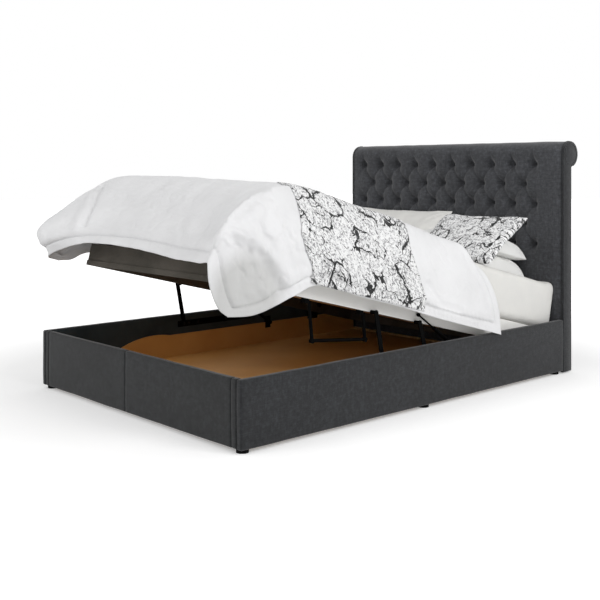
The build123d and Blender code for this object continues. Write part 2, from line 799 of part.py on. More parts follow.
def drape_side(side, growth, sink):
    """One hanging side: a shoulder over the rail and an outer slab that reaches down to the hem."""
    station = drape_stations_shares[0 if side < 0 else -1]
    upper = [drape_place(shares) for shares in station[1:]]
    hem = [drape_place(shares) for shares in (far_hem_shares if side < 0 else near_hem_shares)]
    bulge = drape_place(far_bulge_share if side < 0 else near_bulge_share)
    knee = rail_top + duvet_knee_gap
    above = []
    for low, high in zip(hem, upper):
        share = max(0.0, (knee - low[1]) / (high[1] - low[1]))
        above.append(between(low, high, share))
    edge_x = mattress_width / 2 + soft_gap
    inner_x_place = half_width + duvet_side_gap
    lowered = [(y_place, z_place - sink) for y_place, z_place in above]
    sections = []
    for x_place, share in ((edge_x, 1.0), (inner_x_place, side_height_shares[0])):
        top = [between(low, high, share) for low, high in zip(above, upper)]
        grown = [(y_place, z_place + growth) for y_place, z_place in top]
        sections.append(side_face(side * x_place, grown + lowered[::-1]))
    shoulder = loft(sections, ruled=True)
    sunk_hem = [(y_place, z_place - sink) for y_place, z_place in hem]
    out_places = (0.0, side_out_share * duvet_edge, duvet_edge + growth)
    sections = []
    for out, share in zip(out_places, side_height_shares):
        top = [between(low, high, share) for low, high in zip(hem, upper)]
        grown = [(y_place, z_place + growth) for y_place, z_place in top]
        foot_edge = between(hem[0], bulge, share)
        outline = grown + sunk_hem[::-1] + [foot_edge]
        sections.append(side_face(side * (inner_x_place + out), outline))
    return shoulder + loft(sections, ruled=True)


def drape_shape(growth=0.0, sink=0.0):
    """The drape as one solid, its outer face grown and its lower faces sunk by given amounts."""
    return drape_top(growth, sink) + drape_side(-1, growth, sink) + drape_side(1, growth, sink)


def duvet():
    """The duvet: puffed over the mattress, sloping off its foot, hanging past the rails."""
    keep("duvet", opened(drape_shape()))


def runner():
    """The patterned runner laid across the duvet, hanging to the same edges."""
    reach = bed_width
    band = block(-reach, reach, runner_start_y, runner_end_y, 0, reach)
    cloth = band & drape_shape(growth=runner_gap + runner_thickness)
    keep("runner", opened(cloth - drape_shape(growth=runner_gap, sink=overrun)))


def leaning(length, width, height, x_place, reach, tilt):
    """A cushion that stands on the mattress on its foot edge and leans back by an angle."""
    lean = radians(tilt)
    foot_drop = max(
        (width / 2 - height * (1 - size)) * sin(lean) - level * height * cos(lean)
        for level, size in cushion_shares
    )
    y_place = mattress_head_y - reach + width / 2 * cos(lean) + height / 2 * sin(lean)
    shape = cushion(length, width, height, pillow_draw_in).rotate(Axis.X, tilt)
    return Pos(x_place, y_place, mattress_top + soft_gap + foot_drop) * shape


def pillows():
    """A stack of two pillows and a patterned one that leans on it, and one at the far side."""
    low = mattress_top + soft_gap
    stack = (("near_lower", near_lower_reach, 0), ("near_upper", near_upper_reach, 1))
    for name, reach, level in stack:
        shape = cushion(pillow_length, pillow_width, pillow_height, pillow_draw_in)
        y_place = mattress_head_y - reach + pillow_width / 2
        place = Pos(near_stack_x, y_place, low + level * (pillow_height + soft_gap))
        keep(f"pillow_{name}", opened(place * shape))
    keep("pillow_far", opened(leaning(
        far_pillow_length, far_pillow_width, pillow_height, far_pillow_x, far_pillow_reach, far_pillow_tilt
    )))
    keep("pillow_patterned", opened(leaning(
        print_pillow_length, print_pillow_width, print_pillow_height,
        print_pillow_x, print_pillow_reach, print_pillow_tilt,
    )))


def on_origin():
    """Moves every piece so that the bottom centre of the whole lies on the origin.

    The bed is alike on both sides of X = 0, so it only moves along Y and Z.
    """
    everything = [solid for solids in nodes.values() for solid in solids]
    box = Compound(everything).bounding_box()
    move = Pos(0, -(box.min.Y + box.max.Y) / 2, -box.min.Z)
    for name in nodes:
        nodes[name] = [move * solid for solid in nodes[name]]
    return move.position


def build():
    """Makes every piece, sets the whole on its origin and writes one file a node."""
    base_panels()
    corner_brackets()
    storage_box()
    feet()
    lift_bars()
    lift_arms()
    gas_struts()
    hinge_brackets()
    platform()
    prop()
    headboard()
    mattress()
    duvet()
    runner()
    pillows()
    shift = on_origin()
    for name, solids in nodes.items():
        shape = solids[0] if len(solids) == 1 else Compound(solids)
        export_step(shape, f"parts/{name}.step")
    print(len(nodes), "nodes; the bed's frame moved by", tuple(round(v, 4) for v in shift))


build()
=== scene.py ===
"""Looks of a lift-up storage bed: upholstery, storage box, steelwork and bedding.

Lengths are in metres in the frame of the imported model: X across the bed, +Y towards the
headboard, +Z up. Bedding is shaped on the closed, level platform and then tilted open.
"""
import json
import logging
import math
from collections.abc import Callable
from dataclasses import dataclass
from enum import Enum

import bmesh
import bpy
import numpy as np
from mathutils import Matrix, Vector, noise


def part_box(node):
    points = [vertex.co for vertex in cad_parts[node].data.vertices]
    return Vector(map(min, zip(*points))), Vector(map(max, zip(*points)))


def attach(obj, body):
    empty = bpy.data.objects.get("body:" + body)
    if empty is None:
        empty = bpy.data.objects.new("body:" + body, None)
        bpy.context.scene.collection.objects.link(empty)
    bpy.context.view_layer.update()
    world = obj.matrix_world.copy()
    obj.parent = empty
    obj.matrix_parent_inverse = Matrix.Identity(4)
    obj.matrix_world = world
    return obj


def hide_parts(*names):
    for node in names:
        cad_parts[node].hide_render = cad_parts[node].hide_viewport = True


LOG = logging.getLogger("bed")
MM = 0.001
CLOTH_MAP = "cloth"
CORD_SIDES = 8

Object = bpy.types.Object
Material = bpy.types.Material
Tree = bpy.types.NodeTree
Node = bpy.types.Node
Socket = bpy.types.NodeSocket
Relief = Callable[[np.ndarray, np.ndarray], np.ndarray]

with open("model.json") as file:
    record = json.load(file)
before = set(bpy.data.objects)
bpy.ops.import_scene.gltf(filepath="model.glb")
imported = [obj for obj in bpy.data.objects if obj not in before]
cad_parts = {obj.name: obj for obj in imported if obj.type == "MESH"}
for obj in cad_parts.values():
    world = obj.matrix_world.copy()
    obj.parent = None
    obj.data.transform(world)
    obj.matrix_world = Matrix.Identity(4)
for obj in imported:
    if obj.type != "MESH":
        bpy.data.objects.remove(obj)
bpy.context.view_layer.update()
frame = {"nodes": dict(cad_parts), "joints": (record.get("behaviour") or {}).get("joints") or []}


class Slot(Enum):
    """The record's material slots."""

    UPHOLSTERY = "upholstery"
    WHITE_LINEN = "white_linen"
    PRINT_LINEN = "print_linen"


class Body(Enum):
    """The bodies that pieces ride on."""

    BASE = "base"
    PLATFORM = "platform"


# Numbers and small shape helpers


def smooth(value: np.ndarray, low: float, high: float) -> np.ndarray:
    """A soft step from 0 at low to 1 at high."""
    part = np.clip((np.asarray(value, float) - low) / (high - low), 0.0, 1.0)
    return part * part * (3 - 2 * part)


def past(value: np.ndarray, start: float, margins: tuple[float, float]) -> np.ndarray:
    """A soft step past a place, from one distance beyond it to another."""
    return smooth(value, start + margins[0], start + margins[1])


def bump(value: np.ndarray, centre: float, width: float) -> np.ndarray:
    """A bell of height 1 about a centre."""
    return np.exp(-(((np.asarray(value, float) - centre) / width) ** 2))


def spline(points: np.ndarray, count: int) -> np.ndarray:
    """A smooth curve through points along the first axis.

    Args:
        points: Control values, the first axis running along the curve.
        count: How many samples to return.

    Returns:
        The samples, evenly spread over the spans.
    """
    points = np.asarray(points, float)
    last = len(points) - 1
    padded = np.concatenate([2 * points[:1] - points[1:2], points, 2 * points[-1:] - points[-2:-1]])
    place = np.linspace(0, last, count)
    span = np.minimum(place.astype(int), last - 1)
    part = (place - span).reshape((-1,) + (1,) * (points.ndim - 1))
    a, b, c, d = (padded[span + step] for step in range(4))
    return 0.5 * (
        2 * b + (c - a) * part + (2 * a - 5 * b + 4 * c - d) * part ** 2
        + (3 * b - a - 3 * c + d) * part ** 3
    )


def lengths_along(points: np.ndarray) -> np.ndarray:
    """The length walked along a row of points, from 0 at its start."""
    steps = np.linalg.norm(np.diff(points, axis=0), axis=1)
    return np.concatenate([[0.0], np.cumsum(steps)])


def stations(edge: tuple[float, ...], inner: int, total: float) -> np.ndarray:
    """Sample places along a length: fixed distances from both ends, even steps between."""
    near = np.array(edge)
    middle = np.linspace(edge[-1], total - edge[-1], inner + 2)[1:-1]
    return np.concatenate([near, middle, total - near[::-1]])


def resampled(points: np.ndarray, edge: tuple[float, ...], inner: int) -> np.ndarray:
    """A row of points sampled anew by length, with fixed distances at both ends."""
    walked = lengths_along(points)
    places = stations(edge, inner, walked[-1])
    return np.stack([np.interp(places, walked, points[:, axis]) for axis in range(3)], axis=1)


def grid_normals(grid: np.ndarray) -> np.ndarray:
    """Unit normals of a grid of points, from the cross product of its two directions."""
    along = np.gradient(grid, axis=0)
    across = np.gradient(grid, axis=1)
    normals = np.cross(across, along)
    return normals / np.maximum(np.linalg.norm(normals, axis=2, keepdims=True), 1e-9)


def field_noise(points: np.ndarray, scale: float, seed: float, octaves: int = 3) -> np.ndarray:
    """Fractal noise of about -1 to 1 at each point of an array (..., 3)."""
    flat = np.asarray(points, float).reshape(-1, 3) * scale + seed
    values = [noise.fractal(Vector(p), 1.0, 2.0, octaves) for p in flat]
    return np.array(values).reshape(np.asarray(points).shape[:-1])


@dataclass(frozen=True)
class Tilt:
    """The platform's hinge line and the angle that it stands open."""

    hinge: Vector
    angle: float

    @classmethod
    def read(cls) -> "Tilt":
        """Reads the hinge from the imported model's joints."""
        joint = next(j for j in frame["joints"] if j["name"] == "platform_tilt")
        return cls(Vector(joint["pos_m"]), math.radians(joint["range_deg"][1]))

    def opened(self, points: np.ndarray) -> np.ndarray:
        """Points drawn on the closed platform, turned to where they are with it open."""
        result = np.array(points, float)
        y = result[..., 1] - self.hinge.y
        z = result[..., 2] - self.hinge.z
        result[..., 1] = self.hinge.y + y * math.cos(self.angle) + z * math.sin(self.angle)
        result[..., 2] = self.hinge.z - y * math.sin(self.angle) + z * math.cos(self.angle)
        return result


TILT = Tilt.read()
FOOT_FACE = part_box("foot_panel")[0][1]


def box(node: str) -> tuple[Vector, Vector]:
    """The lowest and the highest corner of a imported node."""
    low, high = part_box(node)
    return Vector(low), Vector(high)


def bed_y(place: float) -> float:
    """A distance from the foot panel's face, as a Y of the frame."""
    return FOOT_FACE + place


# Meshes


def new_object(name: str, vertices: np.ndarray, faces: list, shade_smooth: bool = True) -> Object:
    """Makes a mesh object at the origin from vertices and faces."""
    mesh = bpy.data.meshes.new(name)
    mesh.from_pydata([tuple(map(float, v)) for v in vertices], [], faces)
    mesh.validate()
    mesh.polygons.foreach_set("use_smooth", [shade_smooth] * len(mesh.polygons))
    obj = bpy.data.objects.new(name, mesh)
    bpy.context.scene.collection.objects.link(obj)
    return obj


def facing_out(obj: Object, merge: float = 1e-6) -> Object:
    """Merges doubled points of a closed mesh and turns its faces outwards."""
    work = bmesh.new()
    work.from_mesh(obj.data)
    bmesh.ops.remove_doubles(work, verts=work.verts, dist=merge)
    bmesh.ops.recalc_face_normals(work, faces=work.faces)
    work.to_mesh(obj.data)
    work.free()
    return obj


def grid_faces(rows: int, columns: int, start: int = 0, turn: bool = False) -> list:
    """Four-sided faces of a grid of points stored row by row."""
    faces = []
    for row in range(rows - 1):
        for column in range(columns - 1):
            a = start + row * columns + column
            face = (a, a + 1, a + columns + 1, a + columns)
            faces.append(face[::-1] if turn else face)
    return faces


def ring_faces(rings: int, count: int) -> list:
    """Faces that join closed rings of points one to the next, with a cap at both ends."""
    faces = []
    for ring in range(rings - 1):
        here, after = ring * count, (ring + 1) * count
        for corner in range(count):
            beside = (corner + 1) % count
            faces.append((here + corner, here + beside, after + beside, after + corner))
    faces.append(tuple(range(count)))
    faces.append(tuple((rings - 1) * count + corner for corner in range(count))[::-1])
    return faces


def closed_sheet(name: str, outer: np.ndarray, inner: np.ndarray, uv: np.ndarray) -> Object:
    """A closed cloth body from an outer and an inner grid joined round their edges.

    Args:
        name: The piece's name.
        outer: Grid of points (rows, columns, 3) of the outer face.
        inner: Grid of the same shape for the inner face.
        uv: Grid (rows, columns, 2) of the cloth's own coordinates in metres.

    Returns:
        The new object, with the cloth coordinates in a UV map.
    """
    rows, columns = outer.shape[:2]
    count = rows * columns
    vertices = np.concatenate([outer.reshape(-1, 3), inner.reshape(-1, 3)])
    faces = grid_faces(rows, columns) + grid_faces(rows, columns, count, True)
    ring = [(0, c) for c in range(columns)] + [(r, columns - 1) for r in range(1, rows)]
    ring += [(rows - 1, c) for c in range(columns - 2, -1, -1)] + [(r, 0) for r in range(rows - 2, 0, -1)]
    index = [r * columns + c for r, c in ring]
    for here, after in zip(index, index[1:] + index[:1]):
        faces.append((after, here, here + count, after + count))
    obj = new_object(name, vertices, faces)
    layer = obj.data.uv_layers.new(name=CLOTH_MAP)
    flat = uv.reshape(-1, 2)
    loops = np.empty(len(obj.data.loops), int)
    obj.data.loops.foreach_get("vertex_index", loops)
    layer.data.foreach_set("uv", flat[loops % count].ravel())
    return facing_out(obj, 1e-7)


def rounded_block(
    name: str, low: Vector, high: Vector, radius: float, lines: list[np.ndarray], relief: Relief
) -> Object:
    """A closed block with rounded edges, on a grid fine enough to carry relief.

    Args:
        name: The piece's name.
        low: Lowest corner.
        high: Highest corner.
        radius: Edge radius.
        lines: Three arrays of grid places, from 0 to the block's size along X, Y and Z.
        relief: Function of points and outward normals that gives the offset along the normal.

    Returns:
        The new object.
    """
    low = np.array(low)
    high = np.array(high)
    vertices = []
    faces = []
    for axis in range(3):
        one, two = (axis + 1) % 3, (axis + 2) % 3
        u, v = np.meshgrid(lines[one], lines[two], indexing="ij")
        for side in (0, 1):
            points = np.zeros(u.shape + (3,))
            points[..., one] = u
            points[..., two] = v
            points[..., axis] = (high - low)[axis] * side
            start = len(vertices)
            vertices.extend(points.reshape(-1, 3))
            faces.extend(grid_faces(u.shape[0], u.shape[1], start, side == 0))
    points = np.array(vertices) + low
    core = np.clip(points, low + radius, high - radius)
    away = points - core
    reach = np.linalg.norm(away, axis=1, keepdims=True)
    normals = away / np.maximum(reach, 1e-9)
    points = core + normals * radius
    points = points + normals * relief(points, normals)[:, None]
    return facing_out(new_object(name, points, faces), 1e-5)


def lines_for(size: float, step: float, radius: float, extra: tuple[float, ...] = ()) -> np.ndarray:
    """Grid places along one side of a block: a rounded edge, even steps and extra lines."""
    edge = radius * np.array([0.0, 0.2, 0.45, 0.7, 1.0])
    middle = np.linspace(radius, size - radius, max(2, int((size - 2 * radius) / step) + 1))
    beside = np.array([-6.0, -3.0, -1.5, 0.0, 1.5, 3.0, 6.0]) * MM
    seams = [place + shift for place in extra for shift in beside]
    places = np.unique(np.round(np.concatenate([edge, middle, size - edge, seams]), 6))
    keep = [places[0]]
    for place in places[1:]:
        if place - keep[-1] > 0.4 * MM:
            keep.append(place)
    keep[-1] = size
    return np.array(keep)


def tube(name: str, path: np.ndarray, radius: float, closed: bool = False) -> Object:
    """A round cord along a path of points, closed into a ring or capped at both ends."""
    count = len(path)
    sides = CORD_SIDES
    ahead = np.roll(path, -1, axis=0) - np.roll(path, 1, axis=0)
    if not closed:
        ahead[0] = path[1] - path[0]
        ahead[-1] = path[-1] - path[-2]
    ahead /= np.linalg.norm(ahead, axis=1, keepdims=True)
    side = np.array([1.0, 0.0, 0.0]) if abs(ahead[0][0]) < 0.9 else np.array([0.0, 1.0, 0.0])
    vertices = []
    for point, way in zip(path, ahead):
        side = side - way * side.dot(way)
        side /= np.linalg.norm(side)
        other = np.cross(way, side)
        for turn in np.linspace(0, 2 * math.pi, sides, endpoint=False):
            vertices.append(point + radius * (math.cos(turn) * side + math.sin(turn) * other))
    faces = []
    for ring in range(count if closed else count - 1):
        here, after = ring * sides, (ring + 1) % count * sides
        for corner in range(sides):
            beside = (corner + 1) % sides
            faces.append((here + corner, here + beside, after + beside, after + corner))
    if not closed:
        faces.append(tuple(range(sides))[::-1])
        faces.append(tuple(range((count - 1) * sides, count * sides)))
    return facing_out(new_object(name, np.array(vertices), faces))


def joined(name: str, objects: list[Object]) -> Object:
    """Joins mesh objects into one under a new name."""
    work = bmesh.new()
    for obj in objects:
        work.from_mesh(obj.data)
    mesh = bpy.data.meshes.new(name)
    work.to_mesh(mesh)
    work.free()
    mesh.polygons.foreach_set("use_smooth", [True] * len(mesh.polygons))
    for obj in objects:
        bpy.data.objects.remove(obj)
    target = bpy.data.objects.new(name, mesh)
    bpy.context.scene.collection.objects.link(target)
    return target


# Finishes


def linear(code: str) -> tuple[float, float, float, float]:
    """An sRGB hex colour as the linear values that shaders take."""
    parts = [int(code[i:i + 2], 16) / 255 for i in (1, 3, 5)]
    out = [p / 12.92 if p <= 0.04045 else ((p + 0.055) / 1.055) ** 2.4 for p in parts]
    return (out[0], out[1], out[2], 1.0)


def connect(tree: Tree, node: Node, inputs: dict) -> None:
    """Gives a node's inputs their values or links, where a node stands for its first output."""
    for key, value in inputs.items():
        if isinstance(value, Node):
            value = value.outputs[0]
        if isinstance(value, Socket):
            tree.links.new(value, node.inputs[key])
        else:
            node.inputs[key].default_value = value


def add(tree: Tree, kind: str, inputs: dict | None = None, stops: tuple = (), **settings) -> Node:
    """Adds a node with its settings, values and links.

    Args:
        tree: The node tree.
        kind: The node's type name.
        inputs: Socket name or number to a value, or to an output socket or a node to link.
        stops: Places and hex colours, where the node is a colour ramp.
        settings: Attributes of the node.

    Returns:
        The new node.
    """
    node = tree.nodes.new(kind)
    for key, value in settings.items():
        setattr(node, key, value)
    connect(tree, node, inputs or {})
    if stops:
        elements = node.color_ramp.elements
        while len(elements) < len(stops):
            elements.new(0.5)
        for element, (place, code) in zip(elements, stops):
            element.position = place
            element.color = linear(code)
    return node


def new_material(name: str) -> tuple[Material, Tree, Node]:
    """An empty node material with its shader.

    Args:
        name: The material's name.

    Returns:
        The material, its node tree and its Principled shader.
    """
    material = bpy.data.materials.new(name)
    material.use_nodes = True
    tree = material.node_tree
    return material, tree, tree.nodes["Principled BSDF"]


def weighed(tree: Tree, *parts: tuple, base: float | Socket | Node = 0.0) -> Socket:
    """Patterns added up on a base, each times its weight."""
    total = base
    for pattern, weight in parts:
        inputs = {0: pattern, 1: weight, 2: total}
        total = add(tree, "ShaderNodeMath", inputs, operation="MULTIPLY_ADD").outputs[0]
    return total


def highest(tree: Tree, *patterns: Socket) -> Socket:
    """The highest of several patterns at each place."""
    most = patterns[0]
    for pattern in patterns[1:]:
        most = add(tree, "ShaderNodeMath", {0: most, 1: pattern}, operation="MAXIMUM").outputs[0]
    return most


def streaks(tree: Tree, place: Node, scale: tuple[float, float, float]) -> Socket:
    """Noise drawn out along one way of the cloth, as uneven yarns show."""
    stretched = add(tree, "ShaderNodeMapping", {"Vector": place, "Scale": scale})
    return add(tree, "ShaderNodeTexNoise", {"Vector": stretched, "Scale": 1.0, "Detail": 3.0}).outputs["Fac"]


def threads(tree: Tree, place: Socket | Node, spacing: float) -> Socket:
    """Even ridges of one set of threads at a spacing along a coordinate."""
    turn = add(tree, "ShaderNodeMath", {0: place, 1: 2 * math.pi / spacing}, operation="MULTIPLY")
    wave = add(tree, "ShaderNodeMath", {0: turn}, operation="SINE")
    return weighed(tree, (wave, 0.5), base=0.5)


def woven(tree: Tree, one: Socket | Node, other: Socket, spacing: float) -> Socket:
    """Two sets of threads that cross, along two coordinates."""
    return weighed(tree, (threads(tree, other, spacing), 1.0), base=threads(tree, one, spacing))


@dataclass(frozen=True)
class Upholstery:
    """Charcoal linen-look polyester: a matt weave with slubs, a few shades of grey in patches."""

    name: str = "charcoal_linen_weave"
    dark: str = "#191a1c"
    middle: str = "#252628"
    light: str = "#35373a"
    thread: float = 2.4 * MM  # drawn about three times too coarse, or it wouldn't show
    slubs_along_per_m: float = 16.0  # a slub runs about 60 mm along its yarn
    slubs_across_per_m: float = 210.0
    patches_per_m: float = 55.0
    worn_per_m: float = 3.2

    def build(self) -> Material:
        """Makes the material.

        Returns:
            The material, patterned in object coordinates.
        """
        material, tree, shader = new_material(self.name)
        place = add(tree, "ShaderNodeTexCoord").outputs["Object"]
        axes = add(tree, "ShaderNodeSeparateXYZ", {0: place}).outputs
        along = add(tree, "ShaderNodeMath", {0: axes["X"], 1: axes["Y"]}, operation="ADD")
        flat = add(tree, "ShaderNodeCombineXYZ", {"X": along, "Y": axes["Z"]})
        weft = streaks(tree, flat, (self.slubs_along_per_m, self.slubs_across_per_m, 1.0))
        warp = streaks(tree, flat, (self.slubs_across_per_m, self.slubs_along_per_m, 1.0))
        patch = add(
            tree, "ShaderNodeTexNoise",
            {"Vector": place, "Scale": self.patches_per_m, "Detail": 5.0, "Roughness": 0.68},
        )
        worn = add(tree, "ShaderNodeTexNoise", {"Vector": place, "Scale": self.worn_per_m, "Detail": 3.0})
        slub = weighed(tree, (warp, 0.4), (weft, 0.5))
        shade = weighed(tree, (slub, 0.6), (patch, 0.8), (worn, 0.22))
        shade = weighed(tree, (shade, 1.7), base=-0.82)
        stops = ((0.12, self.dark), (0.5, self.middle), (0.92, self.light))
        height = weighed(tree, (slub, 0.8), base=woven(tree, along, axes["Z"], self.thread))
        connect(tree, shader, {
            "Base Color": add(tree, "ShaderNodeValToRGB", {"Fac": shade}, stops),
            "Normal": add(tree, "ShaderNodeBump", {"Height": height, "Distance": 0.4 * MM, "Strength": 0.5}),
            "Roughness": 0.88,
            "Sheen Weight": 0.28,
            "Sheen Roughness": 0.45,
            "Specular IOR Level": 0.25,
        })
        return material


@dataclass(frozen=True)
class PlainCotton:
    """White cotton percale: matt, a trace of warm or cool grey, fine cross weave, and where given a round
    patch of painted shade.
    """

    name: str
    shade: str
    fold_shade: str
    thread: float = 1.6 * MM  # drawn about five times too coarse, or it wouldn't show
    clouds_per_m: float = 5.0
    creases_per_m: float = 26.0
    # Middle of a round patch of painted shade, darker as the duvet's near corner flap is
    painted_shade_middle: tuple[float, float, float] | None = None
    painted_shade_core: float = 130 * MM
    painted_shade_reach: float = 230 * MM
    painted_shade_colour: str = "#c4c4c3"

    def build(self) -> Material:
        """Makes the material.

        Returns:
            The material, patterned in object coordinates.
        """
        material, tree, shader = new_material(self.name)
        place = add(tree, "ShaderNodeTexCoord").outputs["Object"]
        lit = add(
            tree, "ShaderNodeTexNoise",
            {"Vector": place, "Scale": self.clouds_per_m, "Detail": 4.0, "Roughness": 0.55},
        )
        # A round patch of painted shade: the clouds fade to its colour towards its middle
        if self.painted_shade_middle:
            gap = add(tree, "ShaderNodeVectorMath", {0: place, 1: self.painted_shade_middle}, operation="DISTANCE")
            beyond = add(
                tree, "ShaderNodeMapRange",
                {"Value": gap.outputs["Value"], "From Min": self.painted_shade_core, "From Max": self.painted_shade_reach},
            )
            lit = add(tree, "ShaderNodeMath", {0: lit, 1: beyond}, operation="MULTIPLY")
        stops = ((0.0, self.painted_shade_colour), (0.3, self.fold_shade), (0.62, self.shade))
        axes = add(tree, "ShaderNodeSeparateXYZ", {0: place}).outputs
        rumpled = {
            "Vector": place, "Scale": self.creases_per_m, "Detail": 5.0, "Roughness": 0.6, "Distortion": 0.6,
        }
        crease = add(tree, "ShaderNodeTexNoise", rumpled)
        height = weighed(tree, (crease, 6.0), base=woven(tree, axes["X"], axes["Y"], self.thread))
        relief = {"Height": height, "Distance": 0.5 * MM, "Strength": 0.35}
        connect(tree, shader, {
            "Base Color": add(tree, "ShaderNodeValToRGB", {"Fac": lit}, stops),
            "Normal": add(tree, "ShaderNodeBump", relief),
            "Roughness": 0.72,
            "Sheen Weight": 0.15,
            "Specular IOR Level": 0.3,
        })
        return material


@dataclass(frozen=True)
class PrintedCotton:
    """White cotton sateen printed in black: broken crackle lines with a spray of fine specks."""

    name: str
    offset: tuple[float, float, float]
    ground: str = "#e9e9e9"
    ink: str = "#161617"
    haze: str = "#a9a9ab"
    cell: float = 125 * MM
    line: float = 8 * MM
    speck: float = 8 * MM
    clouds_per_m: float = 42.0
    crowds_per_m: float = 4.5
    # How the lines wander: waves in a metre, and how far each pushes them
    wander: tuple = ((9.0, 55 * MM), (34.0, 16 * MM), (110.0, 6 * MM))

    def build(self) -> Material:
        """Makes the material.

        Returns:
            The material, printed over the cloth's own UV map in metres.
        """
        material, tree, shader = new_material(self.name)
        cloth = add(tree, "ShaderNodeUVMap", uv_map=CLOTH_MAP)
        place = add(tree, "ShaderNodeMapping", {"Vector": cloth, "Location": self.offset})
        warped = place
        for waves_per_m, amount in self.wander:
            warped = self.pushed(tree, warped, waves_per_m, amount)
        main = self.cracks(tree, warped, self.cell, self.line, 0.44)
        fine = self.cracks(tree, warped, self.cell * 0.36, self.line * 0.5, 0.50)
        small = weighed(tree, (self.cracks(tree, warped, self.cell * 0.13, self.line * 0.3, 0.50), 0.52))
        specks = weighed(tree, (self.specks(tree, place), 0.56))
        cloud = add(
            tree, "ShaderNodeTexNoise",
            {"Vector": place, "Scale": self.clouds_per_m, "Detail": 5.0, "Roughness": 0.75},
        )
        wash = weighed(tree, (cloud, 2.4), base=-1.19)
        wash = add(tree, "ShaderNodeClamp", {"Value": wash, "Max": 0.5}).outputs[0]
        inked = highest(tree, main, fine, small, specks, wash)
        stops = ((0.0, self.ground), (0.5, self.haze), (0.62, self.ink))
        connect(tree, shader, {
            "Base Color": add(tree, "ShaderNodeValToRGB", {"Fac": inked}, stops),
            "Roughness": 0.68,
            "Sheen Weight": 0.12,
            "Specular IOR Level": 0.3,
        })
        return material

    def pushed(self, tree: Tree, place: Node, waves_per_m: float, amount: float) -> Node:
        """Coordinates pushed about by noise, so that straight lines wander."""
        push = add(tree, "ShaderNodeTexNoise", {"Vector": place, "Scale": waves_per_m, "Detail": 3.0})
        from_half = {0: push.outputs["Color"], 1: (0.5, 0.5, 0.5)}
        centred = add(tree, "ShaderNodeVectorMath", from_half, operation="SUBTRACT")
        scaled = add(tree, "ShaderNodeVectorMath", {0: centred, "Scale": amount * 2}, operation="SCALE")
        return add(tree, "ShaderNodeVectorMath", {0: place, 1: scaled}, operation="ADD")

    def cracks(self, tree: Tree, place: Node, cell: float, width: float, cover: float) -> Socket:
        """Lines along the edges of cells, swelling and dying away along their run."""
        edges = add(
            tree, "ShaderNodeTexVoronoi", {"Vector": place, "Scale": 1 / cell},
            voronoi_dimensions="2D", feature="DISTANCE_TO_EDGE",
        )
        swell = add(
            tree, "ShaderNodeTexNoise",
            {"Vector": place, "Scale": 0.55 / cell, "Detail": 4.0, "Roughness": 0.7},
        )
        above = add(tree, "ShaderNodeMath", {0: swell, 1: cover}, operation="SUBTRACT")
        reach = add(tree, "ShaderNodeMath", {0: above, 1: width / cell * 6.0}, operation="MULTIPLY")
        inside = {0: reach, 1: edges.outputs["Distance"]}
        return add(tree, "ShaderNodeMath", inside, operation="GREATER_THAN").outputs[0]

    def specks(self, tree: Tree, place: Node) -> Socket:
        """Small ragged dots of uneven size, thicker in some places than in others."""
        grain = add(
            tree, "ShaderNodeTexNoise",
            {"Vector": place, "Scale": 0.62 / self.speck, "Detail": 3.0, "Roughness": 0.7},
        )
        crowd = add(tree, "ShaderNodeTexNoise", {"Vector": place, "Scale": self.crowds_per_m, "Detail": 2.0})
        level = weighed(tree, (crowd, -0.26), base=0.70)
        return add(tree, "ShaderNodeMath", {0: grain, 1: level}, operation="GREATER_THAN").outputs[0]


@dataclass(frozen=True)
class Board:
    """Smooth brown hardboard: pressed fibres give fine flecks under a soft polish."""

    dark: str = "#c58e50"
    middle: str = "#d8a35c"
    light: str = "#e6b674"
    clouds_per_m: float = 2.6
    flecks_per_m: float = 320.0  # fibre bundles of about 3 mm

    def build(self) -> Material:
        """Makes the material.

        Returns:
            The material, patterned in object coordinates.
        """
        material, tree, shader = new_material("pressed_hardboard")
        place = add(tree, "ShaderNodeTexCoord").outputs["Object"]
        cloud = add(tree, "ShaderNodeTexNoise", {"Vector": place, "Scale": self.clouds_per_m, "Detail": 4.0})
        fleck = add(
            tree, "ShaderNodeTexNoise",
            {"Vector": place, "Scale": self.flecks_per_m, "Detail": 3.0, "Roughness": 0.7},
        )
        shade = weighed(tree, (cloud, 0.6), (fleck, 0.45))
        stops = ((0.35, self.dark), (0.53, self.middle), (0.75, self.light))
        connect(tree, shader, {
            "Base Color": add(tree, "ShaderNodeValToRGB", {"Fac": shade}, stops),
            "Normal": add(tree, "ShaderNodeBump", {"Height": fleck, "Distance": 0.2 * MM, "Strength": 0.2}),
            "Roughness": 0.5,
        })
        return material


@dataclass(frozen=True)
class Timber:
    """Planed wood: long grain along one axis, with growth rings and pores."""

    name: str
    dark: str
    light: str
    grain_axis: int
    ring: float = 9 * MM

    def build(self) -> Material:
        """Makes the material.

        Returns:
            The material, patterned in object coordinates.
        """
        material, tree, shader = new_material(self.name)
        place = add(tree, "ShaderNodeTexCoord").outputs["Object"]
        scale = [1 / self.ring] * 3
        scale[self.grain_axis] = 0.06 / self.ring
        stretched = add(tree, "ShaderNodeMapping", {"Vector": place, "Scale": scale})
        rings = add(
            tree, "ShaderNodeTexNoise",
            {"Vector": stretched, "Scale": 0.7, "Detail": 4.0, "Distortion": 0.8},
        )
        pores = add(tree, "ShaderNodeTexNoise", {"Vector": stretched, "Scale": 7.0, "Detail": 2.0})
        shade = weighed(tree, (rings, 0.8), (pores, 0.25))
        stops = ((0.35, self.dark), (0.68, self.light))
        connect(tree, shader, {
            "Base Color": add(tree, "ShaderNodeValToRGB", {"Fac": shade}, stops),
            "Normal": add(tree, "ShaderNodeBump", {"Height": pores, "Distance": 0.3 * MM, "Strength": 0.25}),
            "Roughness": 0.55,
        })
        return material


